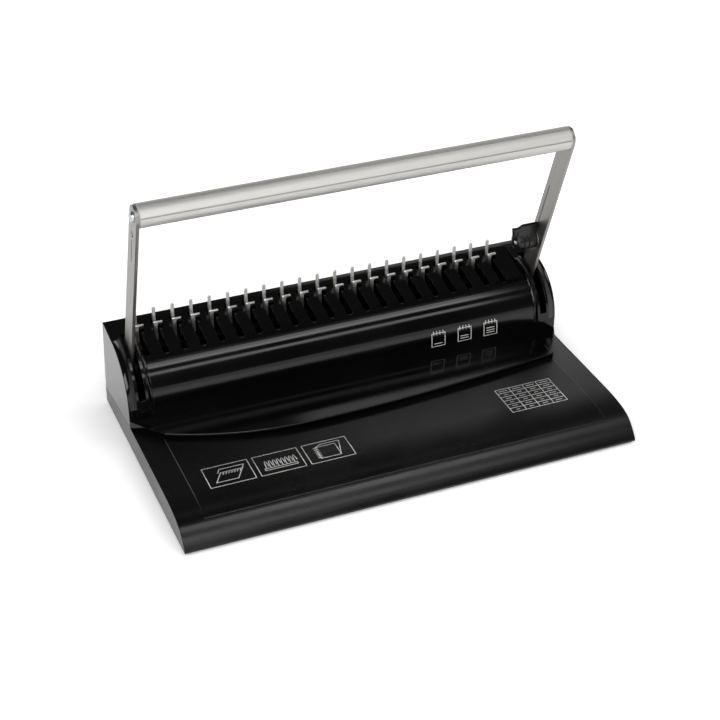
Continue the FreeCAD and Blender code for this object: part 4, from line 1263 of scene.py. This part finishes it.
@dataclass
class StopKnob:
    """The turning stop on the right arm, with its finger wing and screw. Sizes in millimetres."""

    axis: Point = (50.91, 97.31)
    hub_xs: Point = (143.8, 159.8)
    hub_radius: float = 6.6
    rim_round: float = 1.2
    rim_middle: float = 0.35
    back_chamfer: float = 0.6
    grooves: Point = (5.0, 9.0)
    groove_width: float = 1.0
    groove_depth: float = 0.6
    recess_floor: float = 147.8
    recess_radius: float = 4.2
    wing_half: float = 1.5
    wing_left: float = 138.3
    wing_slant: float = 3.0
    wing_zs: Point = (4.0, 15.2)
    wing_tip_rise: float = 0.6
    wing_edge: float = 0.7
    neck_xs: Point = (142.6, 147.2)
    neck_top: float = 18.0
    neck_steps: int = 8
    screw: Screw = Screw(3.5, 3.2, 2.0, 15.0)
    screw_seat: float = 147.5
    washer_xs: Point = (159.84, 160.08)
    washer_radius: float = 8.0
    washer_chamfer: float = 0.1

    def on_arm(self) -> Matrix:
        """Gives the place and lean of the knob's axis on the arm."""
        return Matrix.Translation(Vector((0.0, *self.axis)) * MM) @ Matrix.Rotation(LEAN, 4, "X")

    def wing(self) -> Piece:
        """Makes the flat wing, low at its tip and rising through a neck to the arm.

        Returns:
            The wing's object.
        """
        low, high = self.wing_zs
        (near, far), right = self.neck_xs, self.hub_xs[1]
        neck = []
        for step in range(self.neck_steps + 1):
            drop = (1 - math.cos(math.pi * step / self.neck_steps)) / 2
            x = far + (near - far) * step / self.neck_steps
            neck.append((x, self.neck_top + (high - self.neck_top) * drop))
        outline = [(self.wing_left + self.wing_slant, low), (far, 0.0), (right, 0.0), (right, self.neck_top),
                   *neck, (self.wing_left, high + self.wing_tip_rise)]
        return rounded(plate("knob_wing", outline, -self.wing_half, self.wing_half), self.wing_edge, steps=4)

    def hub(self) -> Piece:
        """Makes the hub with rounded rims, two grip grooves and a recess for the screw's head.

        Returns:
            The hub's object.
        """
        (left, right), wide, rim = self.hub_xs, self.hub_radius, self.rim_round
        line = [(0.0, self.recess_floor), (self.recess_radius, self.recess_floor), (self.recess_radius, left),
                (wide - rim, left), (wide - self.rim_middle, left + self.rim_middle), (wide, left + rim)]
        for groove in self.grooves:
            start = left + groove
            line += [(wide, start), (wide - self.groove_depth, start + self.groove_width / 2),
                     (wide, start + self.groove_width)]
        line += [(wide, right - self.back_chamfer), (wide - self.back_chamfer, right), (0.0, right)]
        hub = turned("knob_hub", line)
        hub.data.transform(Matrix.Rotation(math.pi / 2, 4, "Y"))
        return hub

    def washer(self) -> Piece:
        """Makes the thin washer between the hub and the arm.

        Returns:
            The washer's object.
        """
        (left, right), wide, cut = self.washer_xs, self.washer_radius, self.washer_chamfer
        line = [(0.0, left), (wide - cut, left), (wide, left + cut), (wide, right), (0.0, right)]
        washer = turned("knob_washer", line)
        washer.data.transform(self.on_arm() @ Matrix.Rotation(math.pi / 2, 4, "Y"))
        return washer

    def build(self) -> None:
        """Joins the hub and the wing, sets them on the arm and adds the washer and the screw."""
        knob = combined(self.hub(), self.wing(), "UNION")
        knob.name = "knob_body"
        knob.data.transform(self.on_arm())
        fasten(knob, Body.KNOB, Slot.BLACK, KNOB_NYLON, "stop_knob")
        fasten(self.washer(), Body.HANDLE, Slot.FASTENER, ZINC_SCREW)
        seat = (self.screw_seat, *self.axis)
        screw = Copies("knob_axle", self.screw.build(), ZINC_SCREW, [seat], [(0.0, -90.0, 0.0)])
        fasten(screw.build(), Body.HANDLE, Slot.FASTENER, ZINC_SCREW, "knob_screw")


@dataclass
class ChipDrawer:
    """The drawer for punched chips. Sizes in millimetres."""

    edge_round: float = 0.5

    def build(self) -> None:
        """Rounds and dresses the drawer."""
        tray = softened("chip_tray", "chip_drawer", lambda middle: self.edge_round)
        fasten(tray, Body.DRAWER, Slot.BLACK, GRAINED_ABS, "chip_drawer")


class Face(Enum):
    """The faces of the machine that carry prints."""

    TABLE = "table"
    HOOD = "hood"


@dataclass
class Prints:
    """Thin white line drawings on the table and the hood. Sizes in millimetres."""

    case: BaseCase = field(default_factory=BaseCase)
    hood: Hood = field(default_factory=Hood)
    film: float = 0.03
    line: float = 0.52
    longest_run: float = 2.0
    step_middle: Point = (-124.0, -49.75)
    step_spacing: float = 37.0
    step_half: float = 16.5
    step_ys: Point = (-61.0, -38.5)
    chart_low: Point = (92.0, -57.0)
    chart_high: Point = (137.0, -27.0)
    chart_cells: tuple[int, int] = (4, 6)
    icon_foot: Point = (72.0, -2.0)
    icon_spacing: float = 22.0
    strokes: dict[Face, list[list[Point]]] = field(default_factory=lambda: {face: [] for face in Face})

    def place(self, face: Face, across: float, up: float) -> Vector:
        """Finds a drawing's point on the machine.

        Args:
            face: The face that carries the drawing.
            across: The point's x.
            up: Its y on the table, or its height along the hood's skin from the foot of the round.

        Returns:
            The point in metres, just above the face.
        """
        if face is Face.TABLE:
            return Vector((across, up, self.case.line.height_at(up, self.case.panel_rise) + self.film)) * MM
        y, z = self.hood.round_centre
        if up < 0:
            return Vector((across, self.hood.front - self.film, z + up)) * MM
        turn, away = up / self.hood.radius, self.hood.radius + self.film
        return Vector((across, y - away * math.cos(turn), z + away * math.sin(turn))) * MM

    def stroke(self, face: Face, *points: Point) -> None:
        """Adds one line of a drawing, with its long runs divided so that it follows a round face.

        Args:
            face: The face that carries the drawing.
            points: The line's corners.
        """
        line = [points[0]]
        for (x, y), (end_x, end_y) in zip(points, points[1:]):
            steps = max(1, math.ceil(math.dist((x, y), (end_x, end_y)) / self.longest_run))
            line += [(x + (end_x - x) * step / steps, y + (end_y - y) * step / steps)
                     for step in range(1, steps + 1)]
        self.strokes[face].append(line)

    def frame_lines(self, face: Face, low: Point, high: Point) -> None:
        """Adds a rectangle between two corners."""
        self.stroke(face, low, (high[0], low[1]), high, (low[0], high[1]), low)

    def sheet_drawing(self, x: float, y: float) -> None:
        """Draws a sheet lying under a bar, with its row of holes.

        Args:
            x: The drawing's middle.
            y: Its middle on the table.
        """
        self.stroke(Face.TABLE, (x - 11, y - 7), (x + 5, y - 7), (x + 11, y + 3), (x - 5, y + 3),
                    (x - 11, y - 7))
        self.stroke(Face.TABLE, (x - 7, y + 3), (x - 5, y + 7), (x + 13, y + 7), (x + 11, y + 3))
        for hole in range(7):
            self.stroke(Face.TABLE, (x - 4 + 2.1 * hole, y + 0.6), (x - 3 + 2.1 * hole, y + 2.2))

    def comb_drawing(self, x: float, y: float) -> None:
        """Draws an open comb: a spine with a row of rings.

        Args:
            x: The drawing's middle.
            y: Its middle on the table.
        """
        self.frame_lines(Face.TABLE, (x - 12, y - 6.5), (x + 12, y - 4.5))
        for ring in range(8):
            foot = x - 10.5 + 3 * ring
            loop = [(foot + 1.1 - 1.1 * math.cos(turn), y - 4.5 + 8.5 * math.sin(turn) ** 0.8)
                    for turn in (math.pi * step / 8 for step in range(8))]
            self.stroke(Face.TABLE, *loop, (foot + 2.2, y - 2.0))

    def booklet_drawing(self, x: float, y: float) -> None:
        """Draws a bound booklet with one leaf lifted.

        Args:
            x: The drawing's middle.
            y: Its middle on the table.
        """
        self.frame_lines(Face.TABLE, (x - 8, y - 7.5), (x + 7, y + 6))
        self.stroke(Face.TABLE, (x - 8, y + 6), (x - 3, y + 8.5), (x + 11, y + 8.5), (x + 7, y - 7.5))
        for ring in range(7):
            self.stroke(Face.TABLE, (x - 9.5, y - 6.2 + 1.9 * ring), (x - 6.5, y - 6.2 + 1.9 * ring))

    def size_grid(self, low: Point, high: Point, columns: int, rows: int) -> None:
        """Draws a blank chart with a ruled head row and a short bar in each cell.

        Args:
            low: The corner nearest the operator, left.
            high: The corner furthest from the operator, right.
            columns: The number of columns.
            rows: The number of rows, with the head row.
        """
        wide, tall = (high[0] - low[0]) / columns, (high[1] - low[1]) / rows
        for column in range(columns + 1):
            self.stroke(Face.TABLE, (low[0] + wide * column, low[1]), (low[0] + wide * column, high[1]))
        for row in range(rows + 1):
            self.stroke(Face.TABLE, (low[0], low[1] + tall * row), (high[0], low[1] + tall * row))
        for column in range(columns):
            for row in range(rows):
                bar = wide * (0.56 if row == rows - 1 else 0.2 + 0.07 * ((2 * row + column) % 4))
                at = (low[0] + wide * (column + 0.5) - bar / 2, low[1] + tall * (row + 0.5))
                self.stroke(Face.TABLE, at, (at[0] + bar, at[1]))

    def page_icon(self, x: float, up: float, bars: int) -> None:
        """Draws a ring-bound page on the hood.

        Args:
            x: The icon's middle.
            up: Its foot along the hood's skin.
            bars: The number of bars on the page.
        """
        self.frame_lines(Face.HOOD, (x - 5.5, up), (x + 5.5, up + 11))
        for ring in range(4):
            self.stroke(Face.HOOD, (x - 3.9 + 2.6 * ring, up + 9.8), (x - 3.9 + 2.6 * ring, up + 12.6))
        for bar in range(bars):
            self.stroke(Face.HOOD, (x - 3.2, up + 2.4 + 2.0 * bar), (x + 3.2, up + 2.4 + 2.0 * bar))

    def film_mesh(self, face: Face) -> Piece:
        """Makes the ink film of one face's drawings from flat strips.

        Args:
            face: The face.

        Returns:
            The film's object.
        """
        shape = bmesh.new()
        for line in self.strokes[face]:
            for start, end in zip(line, line[1:]):
                run = Vector(end) - Vector(start)
                if run.length < TOUCH:
                    continue
                ahead = run.normalized() * self.line / 2
                side = Vector((-ahead.y, ahead.x))
                corners = [Vector(start) - ahead - side, Vector(end) + ahead - side,
                           Vector(end) + ahead + side, Vector(start) - ahead + side]
                shape.faces.new([shape.verts.new(self.place(face, *corner)) for corner in corners])
        piece = object_from(face.value + "_print", shape)
        wall = piece.modifiers.new("film", "SOLIDIFY")
        wall.thickness = self.film * MM
        wall.offset = -1.0
        return applied(piece)

    def build(self) -> None:
        """Draws the steps, the chart and the icons, and fastens their films."""
        first, row = self.step_middle
        near, far = self.step_ys
        for at, drawing in enumerate((self.sheet_drawing, self.comb_drawing, self.booklet_drawing)):
            middle = first + self.step_spacing * at
            self.frame_lines(Face.TABLE, (middle - self.step_half, near), (middle + self.step_half, far))
            drawing(middle, row)
        self.size_grid(self.chart_low, self.chart_high, *self.chart_cells)
        for at in range(3):
            self.page_icon(self.icon_foot[0] + self.icon_spacing * at, self.icon_foot[1], at + 1)
        for face in Face:
            fasten(self.film_mesh(face), Body.CASING, Slot.PANEL, PRINT_INK)


@dataclass(frozen=True)
class SoftBox:
    """A soft box that lights the object. Sizes in metres, power in watts."""

    name: str
    place: Spot
    aim: Spot
    size: Point
    power: float

    def hang(self) -> None:
        """Hangs the soft box in its place, facing the point that it aims at."""
        data = bpy.data.lights.new(self.name, "AREA")
        data.shape = "RECTANGLE"
        data.size, data.size_y = self.size
        data.energy = self.power
        lamp = linked(self.name, data)
        lamp.location = self.place
        lamp.rotation_euler = (Vector(self.aim) - Vector(self.place)).to_track_quat("-Z", "Y").to_euler()


@dataclass
class Studio:
    """The floor, the lights and the camera. Sizes in metres, angles in degrees."""

    camera_place: Spot = (-0.3927, -0.9268, 0.7047)
    azimuth: float = -22.296
    elevation: float = 32.26
    roll: float = 0.128
    lens: float = 82.257
    sensor: float = 36.0
    shift: Point = (0.01276, -0.0231)
    floor_rings: Point = (0.7, 4.2)
    floor_radius: float = 14.0
    floor_sides: int = 48
    cove: float = 1.5
    cove_steps: int = 8
    wall_height: float = 1.6
    wall_rise: float = 5.0
    paper_tone: str = "#ececec"
    floor_lifts: Spot = (0.52, 0.74, 1.0)
    pool: Point = (0.18, 0.45)
    far_floor: Point = (0.9, 3.0)
    contact_shadow_reach: float = 0.06
    room_light: float = 0.07
    lamps: tuple[SoftBox, ...] = (
        SoftBox("upper_box", (0.31, -0.45, 1.075), (0.29, 0.04, 0.06), (0.60, 0.33), 2.0),
        SoftBox("upper_core", (0.31, -0.51, 1.02), (0.27, 0.04, 0.06), (0.60, 0.10), 0.4),
        SoftBox("lower_box", (0.31, -0.83, 0.78), (0.30, 0.04, 0.06), (0.62, 0.13), 0.95),
        SoftBox("front_box", (-0.55, -1.25, 0.95), (0.0, 0.0, 0.08), (1.2, 0.9), 19.0),
        SoftBox("side_box", (1.7, -0.2, 1.5), (0.0, 0.0, 0.0), (0.8, 0.8), 8.0),
        SoftBox("back_panel", (1.15, 1.9, 1.25), (0.0, 0.0, 0.0), (0.9, 0.7), 1.6),
        SoftBox("rear_box", (-1.0, 1.6, 1.0), (0.0, 0.0, 0.08), (1.2, 0.9), 10.0))

    def camera(self) -> None:
        """Places the camera at the photograph's angle."""
        side, lift, roll = (math.radians(turn) for turn in (self.azimuth, self.elevation, self.roll))
        back = Vector((math.sin(side) * math.cos(lift), -math.cos(side) * math.cos(lift), math.sin(lift)))
        right = Vector((math.cos(side), math.sin(side), 0.0))
        up = back.cross(right)
        across = math.cos(roll) * right + math.sin(roll) * up
        above = -math.sin(roll) * right + math.cos(roll) * up
        data = bpy.data.cameras.new("camera")
        data.lens = self.lens
        data.sensor_width = self.sensor
        data.shift_x, data.shift_y = self.shift
        camera = linked("camera", data)
        turn = Matrix((across, above, back)).transposed()
        camera.matrix_world = Matrix.Translation(self.camera_place) @ turn.to_4x4()
        bpy.context.scene.camera = camera

    def sweep(self) -> Piece:
        """Makes a round floor that turns up into a wall, low in front and high behind the object.

        Returns:
            The floor's object.
        """
        cove, wall = self.cove, self.floor_radius
        line = [(away, 0.0) for away in self.floor_rings]
        line += [(wall + away, cove + z) for away, z in arc((-cove, 0.0), cove, -90.0, 0.0, self.cove_steps)]
        turns = [2 * math.pi * step / self.floor_sides for step in range(self.floor_sides)]
        shape = bmesh.new()
        rings = [[shape.verts.new((away * math.cos(turn), away * math.sin(turn), z)) for turn in turns]
                 for away, z in line]
        tops = [self.wall_height + self.wall_rise * max(0.0, math.sin(turn)) for turn in turns]
        rings.append([shape.verts.new((wall * math.cos(turn), wall * math.sin(turn), top))
                      for turn, top in zip(turns, tops)])
        shape.faces.new(rings[0])
        join_rings(shape, rings[::-1])
        return object_from("floor", shape)

    def paper(self) -> bpy.types.Material:
        """Makes matt white paper, white to the camera and reflections, with the lamps' shadow and a painted
        contact shadow.

        Returns:
            The paper's material.
        """
        paper = bpy.data.materials.new("paper_floor")
        tree = blank_tree(paper)
        place = add_node(tree, "ShaderNodeTexCoord")
        away = add_node(tree, "ShaderNodeVectorMath", {"operation": "LENGTH"}, {0: place.outputs["Object"]})
        by_object, around, beyond = self.floor_lifts
        ranges = [(self.pool, by_object, around), (self.far_floor, 0.0, beyond - around)]
        close, distant = [
            add_node(tree, "ShaderNodeMapRange",
                     {"From Min": near, "From Max": far, "To Min": first, "To Max": last},
                     {"Value": away.outputs["Value"]}) for (near, far), first, last in ranges]
        white = add_node(tree, "ShaderNodeMath", {"operation": "ADD"},
                         {0: close.outputs["Result"], 1: distant.outputs["Result"]})
        ray = add_node(tree, "ShaderNodeLightPath").outputs
        mirrored = add_node(tree, "ShaderNodeMath", {"operation": "MAXIMUM"},
                            {0: ray["Is Glossy Ray"], 1: ray["Is Transmission Ray"]})
        seen = add_node(tree, "ShaderNodeMath", {"operation": "MAXIMUM"},
                        {0: ray["Is Camera Ray"], 1: mirrored.outputs[0]})
        # An ambient occlusion node dims the glow near the object: a painted contact shadow.
        contact_shadow_paint = add_node(tree, "ShaderNodeAmbientOcclusion", {"Distance": self.contact_shadow_reach})
        glow_under_painted_shadow = add_node(tree, "ShaderNodeMath", {"operation": "MULTIPLY"},
                              {0: white.outputs[0], 1: contact_shadow_paint.outputs["AO"]})
        lift = add_node(tree, "ShaderNodeMath", {"operation": "MULTIPLY"},
                        {0: seen.outputs[0], 1: glow_under_painted_shadow.outputs[0]})
        matt = add_node(tree, "ShaderNodeBsdfDiffuse", {"Color": linear(self.paper_tone)})
        glow = add_node(tree, "ShaderNodeEmission", {"Color": linear("#ffffff")},
                        {"Strength": lift.outputs[0]})
        both = add_node(tree, "ShaderNodeAddShader", {}, {0: matt.outputs[0], 1: glow.outputs[0]})
        add_node(tree, "ShaderNodeOutputMaterial", {}, {"Surface": both.outputs[0]})
        return paper

    def floor(self) -> None:
        """Lays the floor with its paper."""
        floor = self.sweep()
        floor.data.materials.append(self.paper())

    def world(self) -> None:
        """Makes a dim even room."""
        room = bpy.data.worlds.new("room")
        bpy.context.scene.world = room
        tree = blank_tree(room)
        sky = add_node(tree, "ShaderNodeBackground",
                       {"Color": linear("#ffffff"), "Strength": self.room_light})
        add_node(tree, "ShaderNodeOutputWorld", {}, {"Surface": sky.outputs[0]})

    def build(self) -> None:
        """Sets the floor, the room, the lamps, the camera and the view."""
        self.floor()
        self.world()
        for lamp in self.lamps:
            lamp.hang()
        self.camera()
        bpy.context.scene.view_settings.view_transform = "Standard"


def main() -> None:
    """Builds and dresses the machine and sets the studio."""
    logging.basicConfig(level=logging.INFO, format="%(name)s: %(message)s")
    for part in (BaseCase(), Hood(), CombRow(), PunchDrive(), Handle(), StopKnob(), ChipDrawer(), Prints(),
                 Studio()):
        part.build()
        log.info("%s built", type(part).__name__)


if __name__ == "__main__":
    main()
